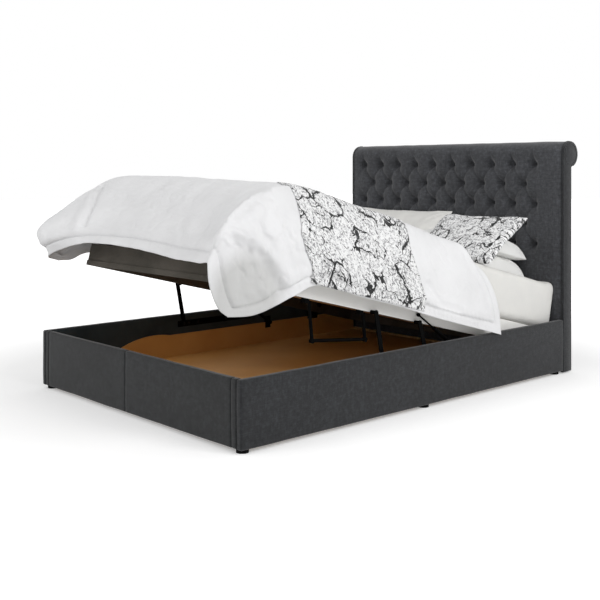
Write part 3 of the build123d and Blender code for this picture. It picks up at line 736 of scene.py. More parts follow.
@dataclass(frozen=True)
class Cloth:
    """A plain woven or felted cloth of one shade, for the deck and the linings, its faces that look down in
    painted shade.
    """

    name: str
    dark: str
    light: str
    grain: float
    roughness: float = 0.9
    underside_painted_shade: str = ""  # painted shade on faces that look down, or none
    clouds_per_m: float = 4.0

    def build(self) -> Material:
        """Makes the material.

        Returns:
            The material, patterned in object coordinates.
        """
        material, tree, shader = new_material(self.name)
        coordinates = add(tree, "ShaderNodeTexCoord").outputs
        place = coordinates["Object"]
        fuzz = add(
            tree, "ShaderNodeTexNoise",
            {"Vector": place, "Scale": 1 / self.grain, "Detail": 4.0, "Roughness": 0.7},
        )
        cloud = add(
            tree, "ShaderNodeTexNoise",
            {"Vector": place, "Scale": self.clouds_per_m, "Detail": 4.0, "Distortion": 0.7},
        )
        shade = weighed(tree, (fuzz, 0.4), (cloud, 0.7))
        # Faces that look down take painted shade: the underside colour where one is given, else the cloth's
        # darkest tone
        facing = add(tree, "ShaderNodeSeparateXYZ", {0: coordinates["Normal"]}).outputs["Z"]
        above = add(tree, "ShaderNodeMath", {0: facing, 1: -0.8}, operation="GREATER_THAN")
        shade = add(tree, "ShaderNodeMath", {0: shade, 1: above}, operation="MULTIPLY")
        stops = ((0.1, self.underside_painted_shade or self.dark), (0.3, self.dark), (0.4, self.dark), (0.68, self.light))
        height = weighed(tree, (cloud, 6.0), base=fuzz)
        connect(tree, shader, {
            "Base Color": add(tree, "ShaderNodeValToRGB", {"Fac": shade}, stops),
            "Normal": add(tree, "ShaderNodeBump", {"Height": height, "Distance": 0.6 * MM, "Strength": 0.4}),
            "Roughness": self.roughness,
            "Specular IOR Level": 0.2,
        })
        return material


@dataclass(frozen=True)
class Coating:
    """A hard surface with a fine texture: powder coat, zinc plate or moulded plastic."""

    name: str
    shade: str
    scuff: str
    metallic: float
    roughness: float
    grit: float
    rubs_per_m: float = 60.0

    def build(self) -> Material:
        """Makes the material.

        Returns:
            The material, patterned in object coordinates.
        """
        material, tree, shader = new_material(self.name)
        place = add(tree, "ShaderNodeTexCoord").outputs["Object"]
        grit = add(tree, "ShaderNodeTexNoise", {"Vector": place, "Scale": 1 / self.grit, "Detail": 2.0})
        rub = add(
            tree, "ShaderNodeTexNoise",
            {"Vector": place, "Scale": self.rubs_per_m, "Detail": 5.0, "Roughness": 0.7},
        )
        stops = ((0.5, self.shade), (0.78, self.scuff))
        connect(tree, shader, {
            "Base Color": add(tree, "ShaderNodeValToRGB", {"Fac": rub}, stops),
            "Normal": add(tree, "ShaderNodeBump", {"Height": grit, "Distance": 0.15 * MM, "Strength": 0.3}),
            "Roughness": weighed(tree, (rub, 0.16), base=self.roughness - 0.08),
            "Metallic": self.metallic,
            "Specular IOR Level": 0.04,
        })
        return material


def both_sides(*names: str) -> tuple[str, ...]:
    """The left and the right node of each name."""
    return tuple(f"{name}_{side}" for name in names for side in ("left", "right"))


class Finishes:
    """Every material of the bed, made once."""

    def __init__(self) -> None:
        """Builds the materials."""
        self.upholstery = Upholstery().build()
        # A lighter copy of the upholstery for the headboard's face: painted light
        self.face = Upholstery("charcoal_linen_painted_light", "#2d2e30", "#3f4043", "#55575c").build()
        # A darker copy of the upholstery for the foot panel: painted shade
        self.foot_cloth_painted_shade = Upholstery("charcoal_linen_painted_shade", "#151617", "#202122", "#2f3133").build()
        # The duvet's near corner flap gets a round patch of painted shade
        flap = tuple(TILT.opened(np.array([0.83, bed_y(-0.02), 0.165])))
        self.duvet = PlainCotton("white_percale", "#e6e6e7", "#dededf", painted_shade_middle=flap).build()
        self.sheet = PlainCotton("ivory_percale", "#e0dfdb", "#d9d8d5").build()
        # The near pillows' case white, brighter than the duvet's: painted light
        self.pillow = PlainCotton("pillow_percale_painted_light", "#f3f3f1", "#ececea").build()
        self.runner = PrintedCotton("printed_sateen_runner", (0.0, 0.0, 0.0)).build()
        self.cushion = PrintedCotton(
            "printed_sateen_pillow", (0.31, 0.17, 0.0), cell=105 * MM, line=10.5 * MM
        ).build()
        self.board = Board().build()
        self.beech = Timber("beech_ply", "#b98f58", "#d8b47e", 0).build()
        self.pine = Timber("planed_pine", "#b58a55", "#d9b681", 1).build()
        # Lit and shaded copies of the deck cloth: the near rail's pale one is painted light, the other
        # rails' taupe one painted shade
        self.deck = Cloth("deck_cloth_painted_light", "#ebeae6", "#f4f3f0", 3 * MM, underside_painted_shade="#141414").build()
        self.deck_painted_shade = Cloth("deck_cloth_painted_shade", "#48453f", "#615c55", 3 * MM).build()
        self.felt = Cloth("black_needle_felt", "#2f373b", "#434d52", 2 * MM, 1.0).build()
        self.steel = Coating("black_powder_coat", "#020202", "#060607", 0.0, 0.7, 0.9 * MM).build()
        self.zinc = Coating("dark_zinc_steel", "#2b2c2e", "#48494b", 1.0, 0.45, 1.5 * MM).build()
        self.plastic = Coating(
            "moulded_black_polypropylene", "#0c0c0d", "#141415", 0.0, 0.5, 1.2 * MM
        ).build()

    def dress_cad(self) -> None:
        """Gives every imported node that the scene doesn't replace its finish."""
        plan = {
            self.board: both_sides("storage_floor", "storage_liner"),
            self.pine: ("head_crosspiece", "floor_beam", "floor_ledges", "slat_cleats", "platform_beam"),
            self.beech: ("slats",),
            # The near rail in painted light, the other rails and the foot edge in painted shade
            self.deck: ("platform_rail_right",),
            self.deck_painted_shade: (
                "platform_rail_foot", "platform_rail_left", "platform_rail_head", "platform_foot_edge",
            ),
            self.felt: ("foot_lining", *both_sides("side_lining")),
            self.plastic: ("feet",),
            self.zinc: ("corner_brackets", "lift_bar_bolts", "arm_pins", "headboard_bolts", "hinge_pins"),
            self.steel: (
                *both_sides("lift_bar", "front_arm", "rear_arm", "strut_body", "strut_rod"),
                *both_sides("strut_plate", "hinge_bracket"),
                "prop_frame", "prop_hinge_blocks", "strut_studs",
            ),
        }
        for material, names in plan.items():
            for name in names:
                for entry in frame["nodes"][name].material_slots:
                    entry.material = material


def finished(obj: Object, material: Material, body: Body, slot: Slot, *nodes: str) -> None:
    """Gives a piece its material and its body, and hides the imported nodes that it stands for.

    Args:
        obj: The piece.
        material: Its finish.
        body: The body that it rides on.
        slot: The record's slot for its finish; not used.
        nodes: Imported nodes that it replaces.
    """
    obj.data.materials.clear()
    obj.data.materials.append(material)
    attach(obj, body.value)
    if nodes:
        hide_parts(*nodes)
    LOG.info("made %s with %d faces", obj.name, len(obj.data.polygons))


# The upholstered base


@dataclass
class BasePanels:
    """Foot and side panels: padded boards in fabric, with seams and rows of stitches."""

    edge_radius: float = 8 * MM
    step: float = 22 * MM
    seam_width: float = 3.2 * MM
    seam_depth: float = 3.0 * MM
    puff: float = 1.2 * MM
    seam_shift: float = -28 * MM  # the middle seam sits this much nearer to the far side
    end_seam: float = 34 * MM
    stitch_spacing: float = 7 * MM
    stitch_length: float = 5 * MM
    thread_radius: float = 0.5 * MM
    stitch_in: float = 7 * MM  # from the foot panel's ends to its outer rows
    side_stitch_in: float = 22 * MM  # from the side panels' outer faces to the rows on their ends
    stitch_from_seam: float = 8.32 * MM
    overlap: float = 0.8 * MM  # the foot panel's face is this far behind the side panels' ends

    def seam(self, distance: np.ndarray) -> np.ndarray:
        """How far a seam draws the cloth in at a distance from it."""
        return -self.seam_depth * bump(distance, 0.0, self.seam_width)

    def panel(self, name: str, low: Vector, high: Vector, axis: int, seams: tuple = ()) -> Object:
        """One padded panel.

        Args:
            name: The piece's name.
            low: Its lowest corner.
            high: Its highest corner.
            axis: The axis that the panel runs along.
            seams: Places of upright seams, from the panel's low end.

        Returns:
            The panel's mesh.
        """
        size = high - low
        lines = []
        for each in range(3):
            extra = seams if each == axis else ()
            lines.append(lines_for(size[each], self.step, self.edge_radius, extra))

        def relief(points: np.ndarray, normals: np.ndarray) -> np.ndarray:
            """How far the cloth stands out: soft padding, drawn in at the seams."""
            place = points[:, axis] - low[axis]
            height = (points[:, 2] - low.z) / size.z
            upright = np.abs(normals[:, 2]) < 0.8
            outer = np.abs(normals[:, axis]) < 0.9
            soft = field_noise(points * np.array([1.0, 1.0, 1.7]), 5.0, 3.1) * self.puff
            total = soft + self.puff * np.sin(math.pi * np.clip(height, 0, 1)) * upright
            for where in seams:
                total = total + self.seam(place - where) * outer
            return total

        return rounded_block(name, low, high, self.edge_radius, lines, relief)

    def stitches(self, name: str, rows: list[tuple[Vector, Vector]], material: Material) -> Object:
        """Rows of short stitches, set along straight lines by a node tree.

        Args:
            name: The piece's name.
            rows: Start and end of each row.
            material: The thread's finish.

        Returns:
            The stitches as a plain mesh.
        """
        work = bmesh.new()
        for start, end in rows:
            work.edges.new((work.verts.new(start), work.verts.new(end)))
        holder = new_object(name, np.zeros((0, 3)), [])
        work.to_mesh(holder.data)
        work.free()
        return repeated_along(holder, self.stitch_spacing, self.stitch_length, self.thread_radius, material)

    def build(self, finishes: Finishes) -> None:
        """Makes the panels and their stitches; each side runs over the foot panel's end."""
        foot_low, foot_high = box("foot_panel")
        thickness = foot_high.y - foot_low.y
        inner_low = Vector((foot_low.x + thickness, foot_low.y + self.overlap, foot_low.z))
        inner_high = Vector((foot_high.x - thickness, foot_high.y, foot_high.z))
        middle = (inner_high.x - inner_low.x) / 2 + self.seam_shift
        near_edge = inner_high.x - inner_low.x - self.end_seam
        foot = self.panel("foot_panel_cover", inner_low, inner_high, 0, (self.end_seam, middle, near_edge))
        # The foot panel takes the darker copy of the cloth, a painted shade
        finished(foot, finishes.foot_cloth_painted_shade, Body.BASE, Slot.UPHOLSTERY, "foot_panel")
        for side in ("left", "right"):
            node = f"side_panel_{side}"
            low, high = box(node)
            low.y = foot_low.y
            cover = self.panel(f"{node}_cover", low, high, 1)
            finished(cover, finishes.upholstery, Body.BASE, Slot.UPHOLSTERY, node)
        margin = self.edge_radius * 1.5
        seam_rows = (self.seam_shift - self.stitch_from_seam, self.seam_shift + self.stitch_from_seam)
        on_foot = (inner_low.x + self.stitch_in, *seam_rows, inner_high.x - self.stitch_in)
        on_sides = (foot_low.x + self.side_stitch_in, foot_high.x - self.side_stitch_in)
        rows = []
        for face, places in ((inner_low.y, on_foot), (foot_low.y, on_sides)):
            y = face - self.puff * 0.6
            for x in places:
                rows.append((Vector((x, y, foot_low.z + margin)), Vector((x, y, foot_high.z - margin))))
        thread = self.stitches("foot_panel_stitches", rows, finishes.upholstery)
        finished(thread, finishes.upholstery, Body.BASE, Slot.UPHOLSTERY)


def sized_tree(name: str, sizes: tuple[str, ...]) -> tuple[Tree, Node, list[str]]:
    """A geometry node tree with named sizes.

    Args:
        name: The tree's name.
        sizes: Names of its sizes.

    Returns:
        The tree, its input node and the identifiers of its sizes.
    """
    tree = bpy.data.node_groups.new(name, "GeometryNodeTree")
    face = tree.interface
    face.new_socket("Geometry", in_out="INPUT", socket_type="NodeSocketGeometry")
    sockets = [face.new_socket(size, in_out="INPUT", socket_type="NodeSocketFloat") for size in sizes]
    face.new_socket("Geometry", in_out="OUTPUT", socket_type="NodeSocketGeometry")
    return tree, add(tree, "NodeGroupInput"), [socket.identifier for socket in sockets]


def ended(tree: Tree, placed: Node, material: Material) -> None:
    """Ends a tree: its instances become real and get their material."""
    real = add(tree, "GeometryNodeRealizeInstances", {"Geometry": placed})
    dressed = add(tree, "GeometryNodeSetMaterial", {"Geometry": real, "Material": material})
    add(tree, "NodeGroupOutput", {"Geometry": dressed})


def repeated_along(
    holder: Object, spacing: float, length: float, radius: float, material: Material
) -> Object:
    """Sets short rods end to end along the edges of a mesh with a node tree.

    Args:
        holder: A mesh of edges; it becomes the result.
        spacing: Distance from one rod to the next.
        length: Length of a rod.
        radius: Radius of a rod.
        material: Finish of the rods.

    Returns:
        The same object with its mesh replaced by the rods.
    """
    tree, start, sizes = sized_tree("rods_along_edges", ("Spacing", "Length", "Radius"))
    curve = add(tree, "GeometryNodeMeshToCurve", {"Mesh": start.outputs["Geometry"]})
    spaced = {"Curve": curve, "Length": start.outputs["Spacing"]}
    points = add(tree, "GeometryNodeCurveToPoints", spaced, mode="LENGTH").outputs
    rod = add(
        tree, "GeometryNodeMeshCylinder",
        {"Vertices": 6, "Radius": start.outputs["Radius"], "Depth": start.outputs["Length"]},
    )
    placed = add(
        tree, "GeometryNodeInstanceOnPoints",
        {"Points": points["Points"], "Instance": rod.outputs["Mesh"], "Rotation": points["Rotation"]},
    )
    ended(tree, placed, material)
    return baked_nodes(holder, tree, dict(zip(sizes, (spacing, length, radius))))


def baked_nodes(holder: Object, tree: Tree, values: dict) -> Object:
    """Runs a node tree on an object and keeps the result as its plain mesh.

    Args:
        holder: The object that the tree starts from.
        tree: The geometry node tree.
        values: Socket identifier to value.

    Returns:
        The same object, with the result as its mesh and no modifier.
    """
    modifier = holder.modifiers.new(tree.name, "NODES")
    modifier.node_group = tree
    for identifier, value in values.items():
        modifier[identifier] = value
    graph = bpy.context.evaluated_depsgraph_get()
    mesh = bpy.data.meshes.new_from_object(holder.evaluated_get(graph))
    holder.modifiers.clear()
    holder.data = mesh
    return holder


# The headboard


@dataclass
class Headboard:
    """Deep-buttoned headboard: padded face, pleats to a rolled top, strips and piping at the sides.

    Places up the face are lengths walked over it, which are heights as far as the roll.
    """

    column_pitch: float = 146 * MM
    row_pitch: float = 112 * MM
    columns: int = 10
    rows: int = 5
    top_row: float = 1144 * MM
    stand_out: float = 7 * MM
    face_puff: float = 19 * MM
    well: float = 43 * MM
    well_width: float = 28 * MM
    # The buttons sit this much nearer to the far side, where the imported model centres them
    shift: float = -52 * MM
    roll_radius: float = 71 * MM
    piping: float = 4.5 * MM
    step: float = 7 * MM
    hem_in: float = 12 * MM
    button_radius: float = 11 * MM
    button_sunk: float = 7 * MM
    # Distances past a place between which one kind of surface turns into the next
    plain_past_columns: tuple[float, float] = (-10 * MM, 60 * MM)
    pleats_past_rows: tuple[float, float] = (-20 * MM, 30 * MM)
    tufts_past_low_row: tuple[float, float] = (-55 * MM, 0.0)
    smooth_past_roll: tuple[float, float] = (20 * MM, 100 * MM)
    pleats_start: float = 10 * MM  # above the top row
    pleats_end: float = 55 * MM  # above the roll's middle
    edge_round: float = 50 * MM
    # The side strip's rounded edge: shares of its depth from its inner face, and insets there
    strip_section: tuple = ((0.0, 1.0 * MM), (0.55, 0.0), (0.85, 1.2 * MM), (1.0, 5 * MM))
    cord_in: float = 0.5 * MM
    outer_cord_in: float = 3 * MM
    ring_share: float = 0.80
    roll_turn: float = 245.0  # degrees from the roll's front over its top to its end at the back
    strip_turn: float = 248.0
    no_relief: float = 9.0  # stands for lengths on the back, which carries no tufting

    def __post_init__(self) -> None:
        """Reads the pad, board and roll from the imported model."""
        self.pad_low, self.pad_high = box("headboard_pad")
        self.back_y = box("headboard_board")[1].y
        roll_low, roll_high = box("headboard_roll")
        self.roll_y = (roll_low.y + roll_high.y) / 2
        self.roll_z = (roll_low.z + roll_high.z) / 2
        self.face_y = self.pad_low.y

    def buttons(self) -> list[tuple[float, float]]:
        """X and Z of every button, in rows of ten and nine by turns."""
        places = []
        for row in range(self.rows):
            count = self.columns - row % 2
            for column in range(count):
                x = (column - (count - 1) / 2) * self.column_pitch + self.shift
                places.append((x, self.top_row - row * self.row_pitch))
        return places

    def relief(self, x: np.ndarray, z: np.ndarray) -> np.ndarray:
        """How far the face stands out from the pad's plane, at X and at the length Z up the face."""
        half_columns = (self.columns - 1) / 2
        s = (x - self.shift) / self.column_pitch + half_columns
        t = (self.top_row - z) / self.row_pitch
        one = np.abs(np.sin(math.pi * (s + t / 2)))
        two = np.abs(np.sin(math.pi * (s - t / 2)))
        pillow = np.minimum(one, two) ** 0.55 * 0.65 + np.sqrt(one * two) * 0.35
        reach_x = half_columns * self.column_pitch
        within_x = 1 - past(np.abs(x - self.shift), reach_x, self.plain_past_columns)
        low_end = self.top_row - (self.rows - 1) * self.row_pitch
        above = past(z, self.top_row, self.pleats_past_rows)
        below = 1 - past(z, low_end, self.tufts_past_low_row)
        upright = np.abs(np.sin(math.pi * s)) ** 0.4
        fade_up = 1 - smooth(z, self.top_row + self.pleats_start, self.roll_z + self.pleats_end)
        tufted = pillow * (1 - above) + (1 - (1 - upright) * fade_up * 1.2) * above
        body = tufted * within_x + (1 - within_x)
        body = body * (1 - below) + below
        height = self.face_puff * (body - 1)
        for button_x, button_z in self.buttons():
            reach = np.hypot(x - button_x, z - button_z)
            height = height - self.well * np.exp(-((reach / self.well_width) ** 1.6))
        edge = np.minimum(self.pad_high.x - np.abs(x), z - self.pad_low.z)
        return height + self.stand_out * smooth(edge, 0.0, self.edge_round)

    def on_roll(self, turn: float, radius: float) -> tuple[float, float]:
        """A point (Y, Z) round the roll's middle, from its front over its top."""
        return self.roll_y - radius * math.cos(turn), self.roll_z + radius * math.sin(turn)

    def path(self) -> tuple[np.ndarray, np.ndarray, np.ndarray]:
        """The headboard's profile as points (Y, Z), outward normals and lengths up the face."""
        rise = np.arange(self.pad_low.z + self.hem_in, self.roll_z, self.step)
        turn_in = 3 * MM
        points = [
            (self.face_y + self.hem_in, self.pad_low.z),
            (self.face_y + turn_in, self.pad_low.z + turn_in),
        ]
        normals = [(0.0, -1.0), (-0.7, -0.7)]
        lengths = [self.pad_low.z, self.pad_low.z]
        for z in rise:
            points.append((self.face_y, z))
            normals.append((-1.0, 0.0))
            lengths.append(z)
        end_turn = math.radians(self.roll_turn)
        for turn in np.arange(0, end_turn, self.step / self.roll_radius):
            points.append(self.on_roll(turn, self.roll_radius))
            normals.append((-math.cos(turn), math.sin(turn)))
            lengths.append(self.roll_z + turn * self.roll_radius)
        start_z = points[-1][1]
        for z in np.linspace(start_z - 10 * MM, self.pad_low.z, 40):
            points.append((self.back_y, z))
            normals.append((1.0, 0.0))
            lengths.append(self.no_relief)
        points.append((self.back_y - self.hem_in, self.pad_low.z))
        normals.append((0.0, -1.0))
        lengths.append(self.no_relief)
        return np.array(points), np.array(normals), np.array(lengths)

    def padded_face(self) -> Object:
        """The fabric over the pad, the roll and the back, as one closed body."""
        points, normals, lengths = self.path()
        half = self.pad_high.x
        xs = np.linspace(-half, half, int(2 * half / self.step))
        grid_x, grid_l = np.meshgrid(xs, lengths, indexing="ij")
        fade = 1 - past(grid_l, self.roll_z, self.smooth_past_roll)
        offset = self.relief(grid_x, grid_l) * fade
        place = np.stack([grid_x, *(np.broadcast_to(axis, grid_x.shape) for axis in points.T)], axis=2)
        offset = offset + field_noise(place, 9.0, 7.7, 2) * 1.2 * MM * (grid_l < self.no_relief)
        outward = (np.broadcast_to(axis, grid_x.shape) for axis in normals.T)
        away = np.stack([np.zeros_like(grid_x), *outward], axis=2)
        place = place + away * offset[..., None]
        faces = ring_faces(*place.shape[:2])
        return facing_out(new_object("headboard_cover", place.reshape(-1, 3), faces))

    def outline(self, inset: float) -> np.ndarray:
        """The side strip's outline as (Y, Z): up the front, round the roll and down the back."""
        points = [(self.face_y + inset, self.pad_low.z + inset)]
        radius = self.roll_radius - inset
        for turn in np.linspace(0, math.radians(self.strip_turn), 44):
            points.append(self.on_roll(turn, radius))
        points.append((self.back_y - inset, self.roll_z - radius * 0.93))
        points.append((self.back_y - inset, self.pad_low.z + inset))
        return np.array(points)

    def side_strip(self, node: str, inner: float, outer: float) -> Object:
        """A wrapped side strip with softly rounded edges."""
        rings = []
        for depth_share, inset in self.strip_section:
            x = inner + (outer - inner) * depth_share
            rings.append([(x, y, z) for y, z in self.outline(inset)])
        rings = np.array(rings)
        faces = ring_faces(*rings.shape[:2])
        return facing_out(new_object(f"{node}_cover", rings.reshape(-1, 3), faces))

    def pipings(self, side: str, sign: int, inner: float, outer: float) -> Object:
        """The welt cords of one side: along both edges of the strip and round the roll's end."""
        cords = []
        outer_cord = outer - sign * self.piping * 0.6
        edges = ((inner, self.cord_in, 0.7), (outer_cord, self.outer_cord_in, 0.8))
        for index, (x, inset, thickness_share) in enumerate(edges):
            line = np.array([(x, y, z) for y, z in self.outline(inset)])
            fine = resampled(line, (0.0, 0.02), 150)
            cords.append(tube(f"welt_{index}", fine, self.piping * thickness_share))
        ring = []
        for turn in np.linspace(0, 2 * math.pi, 64, endpoint=False):
            radius = self.roll_radius * self.ring_share
            y = self.roll_y + radius * math.cos(turn)
            z = self.roll_z + radius * math.sin(turn)
            ring.append((outer - sign * self.cord_in, y, z))
        cords.append(tube("welt_ring", np.array(ring), self.piping * 0.55, closed=True))
        return joined(f"headboard_welts_{side}", cords)

    def button_set(self, material: Material) -> Object:
        """The covered buttons, one shape set on points by a node tree."""
        places = []
        seat = self.well + self.face_puff - self.stand_out - self.button_sunk
        for x, z in self.buttons():
            places.append((x, self.face_y + seat, z))
        holder = new_object("headboard_button_set", np.array(places), [])
        tree, start, sizes = sized_tree("covered_buttons", ("Radius",))
        size = start.outputs["Radius"]
        ball = add(tree, "GeometryNodeMeshUVSphere", {"Segments": 16, "Rings": 10, "Radius": size})
        flat = {"Geometry": ball.outputs["Mesh"], "Scale": (1.0, 0.5, 1.0)}
        button = add(tree, "GeometryNodeTransform", flat)
        set_down = {"Points": start.outputs["Geometry"], "Instance": button}
        placed = add(tree, "GeometryNodeInstanceOnPoints", set_down)
        ended(tree, placed, material)
        baked_nodes(holder, tree, {sizes[0]: self.button_radius})
        holder.data.polygons.foreach_set("use_smooth", [True] * len(holder.data.polygons))
        return holder

    def build(self, finishes: Finishes) -> None:
        """Makes the headboard's pieces."""
        cloth = finishes.upholstery
        # The face takes the lighter copy of the cloth, a painted light; buttons, strips and welts keep the
        # panels' cloth
        finished(
            self.padded_face(), finishes.face, Body.BASE, Slot.UPHOLSTERY,
            "headboard_pad", "headboard_board", "headboard_roll",
        )
        finished(self.button_set(cloth), cloth, Body.BASE, Slot.UPHOLSTERY, "headboard_buttons")
        for side, sign in (("left", -1), ("right", 1)):
            node = f"headboard_side_{side}"
            low, high = box(node)
            inner, outer = (low.x, high.x) if sign > 0 else (high.x, low.x)
            strip = self.side_strip(node, inner, outer)
            finished(strip, cloth, Body.BASE, Slot.UPHOLSTERY, node)
            finished(self.pipings(side, sign, inner, outer), cloth, Body.BASE, Slot.UPHOLSTERY)


# The bedding, shaped on the closed platform


def opened_piece(obj: Object) -> Object:
    """Turns a piece drawn on the closed platform to where it is with the platform open."""
    count = len(obj.data.vertices)
    places = np.empty(count * 3)
    obj.data.vertices.foreach_get("co", places)
    obj.data.vertices.foreach_set("co", TILT.opened(places.reshape(-1, 3)).ravel())
    obj.data.update()
    return obj


@dataclass
class Mattress:
    """The mattress in a fitted sheet that is drawn tight over its edges in upright wrinkles."""

    half_width: float = 750 * MM
    foot: float = 177.5 * MM
    head: float = 2210 * MM
    bottom: float = 322.3 * MM
    top: float = 542 * MM
    rise: float = 30 * MM  # how much fuller it stands where nothing presses it, towards its head
    end_rise: float = 12 * MM
    edge_radius: float = 36 * MM
    step: float = 13 * MM
    wrinkle: float = 3.4 * MM
    wrinkles_per_m: float = 15.0
    fine_wrinkles_per_m: float = 42.0
    slack: float = 2.5 * MM
    slack_per_m: float = 4.0
    top_wrinkle: float = 0.6 * MM
    rises_between: tuple[float, float] = (0.95, 1.6)  # metres from the foot face
    end_between: tuple[float, float] = (2.10, 2.18)

    def swell(self, y: float) -> float:
        """How much higher than its pressed foot part the mattress stands at a place."""
        risen = self.rise * float(smooth(y, *self.rises_between))
        return risen + self.end_rise * float(smooth(y, *self.end_between))

    def build(self, finishes: Finishes) -> None:
        """Makes the mattress."""
        low = Vector((-self.half_width, bed_y(self.foot), self.bottom))
        high = Vector((self.half_width, bed_y(self.head), self.top))
        size = high - low
        lines = [lines_for(size[axis], self.step, self.edge_radius) for axis in range(3)]

        def relief(points: np.ndarray, normals: np.ndarray) -> np.ndarray:
            """How far the sheet stands out: upright wrinkles at the sides, slack on top."""
            beside = 1 - smooth(np.abs(normals[:, 2]), 0.5, 0.95)
            height = (points[:, 2] - low.z) / size.z
            drawn = field_noise(points * np.array([1.0, 1.0, 0.12]), self.wrinkles_per_m, 4.2, 3)
            fine = field_noise(points * np.array([1.0, 1.0, 0.3]), self.fine_wrinkles_per_m, 9.1, 2)
            slack = field_noise(points, self.slack_per_m, 1.7, 2)
            ends = 0.35 + 0.65 * np.abs(height - 0.5) * 2
            total = beside * ends * (drawn * self.wrinkle + fine * self.wrinkle * 0.3)
            return total + (slack - 1) * self.slack + (1 - beside) * fine * self.top_wrinkle

        obj = rounded_block("fitted_mattress", low, high, self.edge_radius, lines, relief)
        for vertex in obj.data.vertices:
            share = min(max((vertex.co.z - low.z) / size.z, 0.0), 1.0)
            vertex.co.z += share * self.swell(vertex.co.y - bed_y(0.0))
        opened_piece(obj)
        finished(obj, finishes.sheet, Body.PLATFORM, Slot.WHITE_LINEN, "mattress")


@dataclass
class Duvet:
    """The duvet: its surface runs through rows of chosen points, then gets its seam and folds.

    Every row of the net crosses the bed from the far hem to the near hem, and the rows run
    from the foot hem to the head hem. Places are metres from the bed's middle, from the foot
    panel's face and from the floor.
    """

    flange: float = 50 * MM
    foot_flange: float = 1.2  # how many times wider it is along the foot
    hem_thickness: float = 2 * MM
    fill_thickness: float = 21 * MM
    across: int = 250
    along: int = 290
    fill_past_flange: tuple[float, float] = (-4 * MM, 75 * MM)  # where it grows to its full thickness
    thin_between: tuple[float, float] = (300 * MM, 400 * MM)  # it hangs thinner below these heights
    top_between: tuple[float, float] = (560 * MM, 660 * MM)  # and lies stiller above these
    folds_by: float = 60 * MM  # past the flange, folds have their full depth
    strokes_between: tuple[float, float] = (20 * MM, 80 * MM)  # from the hem, for chosen folds
    seam_depth: float = 9.5 * MM
    seam_width: float = 4.6 * MM
    seam_pinch: float = 1.2 * MM
    pinch_width: float = 4 * MM
    border: float = 8 * MM  # the swelling that runs along inside the seam
    border_in: float = 36 * MM
    border_width: float = 26 * MM
    pucker: float = 1.7 * MM
    pucker_width: float = 22 * MM
    wave: float = 7 * MM
    waves_per_m: float = 3.6
    crease: float = 2.6 * MM
    creases_per_m: float = 7.5
    small_crease: float = 1.3 * MM
    small_creases_per_m: float = 24.0
    flutter: float = 5 * MM
    flutters_per_m: float = 9.0
    # The near corner is more rumpled than the rest, round this place
    rumple_middle: tuple[float, float, float] = (0.83, 0.0, 0.24)
    rumple_core: float = 160 * MM
    rumple_reach: float = 360 * MM

    net: tuple = (
        # foot hem
        ((-.832, .060, .206), (-.812, -.012, .212), (-.700, -.016, .253), (-.45, -.010, .306),
         (-.05, .002, .304), (.30, -.045, .277), (.56, -.098, .264), (.70, -.150, .264),
         (.798, -.219, .257), (.806, -.188, .165), (.812, -.137, .097), (.818, -.088, .072)),
        # foot slope, from low to high
        ((-.830, .130, .222), (-.838, -.004, .285), (-.818, -.088, .334), (-.43, .045, .430),
         (-.05, .050, .430), (.30, .010, .402), (.57, -.050, .385), (.69, -.100, .385),
         (.790, -.185, .378), (.816, -.150, .300), (.824, -.075, .170), (.826, -.005, .088)),
        ((-.829, .180, .258), (-.835, .080, .375), (-.798, .026, .492), (-.41, .132, .552),
         (-.05, .125, .543), (.30, .084, .522), (.58, .022, .505), (.695, -.040, .500),
         (.779, -.120, .480), (.830, -.085, .385), (.838, -.010, .240), (.832, .060, .112)),
        ((-.828, .225, .278), (-.834, .150, .415), (-.782, .138, .604), (-.40, .218, .658),
         (-.05, .208, .645), (.30, .168, .625), (.58, .105, .606), (.69, .062, .595),
         (.766, .000, .575), (.842, .035, .465), (.845, .085, .300), (.836, .140, .157)),
        # ridge over the mattress's foot
        ((-.820, .275, .287), (-.830, .230, .430), (-.757, .235, .676), (-.40, .320, .724),
         (-.05, .315, .712), (.30, .285, .692), (.58, .220, .671), (.68, .200, .657),
         (.740, .178, .637), (.834, .170, .500), (.843, .185, .345), (.834, .215, .202)),
        # over the mattress
        ((-.816, .420, .288), (-.826, .420, .450), (-.752, .430, .682), (-.40, .460, .722),
         (-.05, .455, .715), (.30, .440, .703), (.58, .425, .688), (.68, .415, .670),
         (.744, .400, .643), (.818, .390, .500), (.834, .380, .380), (.820, .365, .272)),
        ((-.812, .650, .280), (-.824, .650, .440), (-.752, .650, .668), (-.40, .650, .704),
         (-.05, .650, .702), (.30, .650, .698), (.58, .650, .680), (.68, .645, .661),
         (.744, .640, .636), (.816, .630, .500), (.832, .625, .380), (.818, .620, .262)),
        ((-.812, .900, .280), (-.822, .900, .430), (-.752, .900, .652), (-.40, .900, .690),
         (-.05, .900, .688), (.30, .900, .683), (.58, .900, .671), (.68, .900, .656),
         (.745, .900, .630), (.816, .900, .490), (.830, .900, .370), (.817, .900, .258)),
        ((-.812, 1.15, .270), (-.822, 1.14, .420), (-.752, 1.13, .640), (-.40, 1.13, .678),
         (-.05, 1.13, .678), (.30, 1.13, .674), (.58, 1.12, .663), (.68, 1.12, .647),
         (.747, 1.12, .622), (.814, 1.14, .486), (.828, 1.15, .360), (.817, 1.16, .245)),
        ((-.812, 1.42, .262), (-.822, 1.38, .410), (-.752, 1.32, .625), (-.40, 1.36, .660),
         (-.05, 1.37, .660), (.30, 1.36, .657), (.58, 1.34, .650), (.68, 1.33, .636),
         (.749, 1.32, .612), (.814, 1.37, .486), (.826, 1.42, .355), (.817, 1.45, .240)),
        # head hem
        ((-.812, 1.64, .258), (-.820, 1.55, .400), (-.742, 1.43, .572), (-.40, 1.48, .5735),
         (-.05, 1.49, .5735), (.30, 1.48, .5735), (.58, 1.45, .5735), (.68, 1.43, .5735),
         (.744, 1.415, .566), (.808, 1.485, .506), (.822, 1.595, .380), (.817, 1.672, .236)),
    )

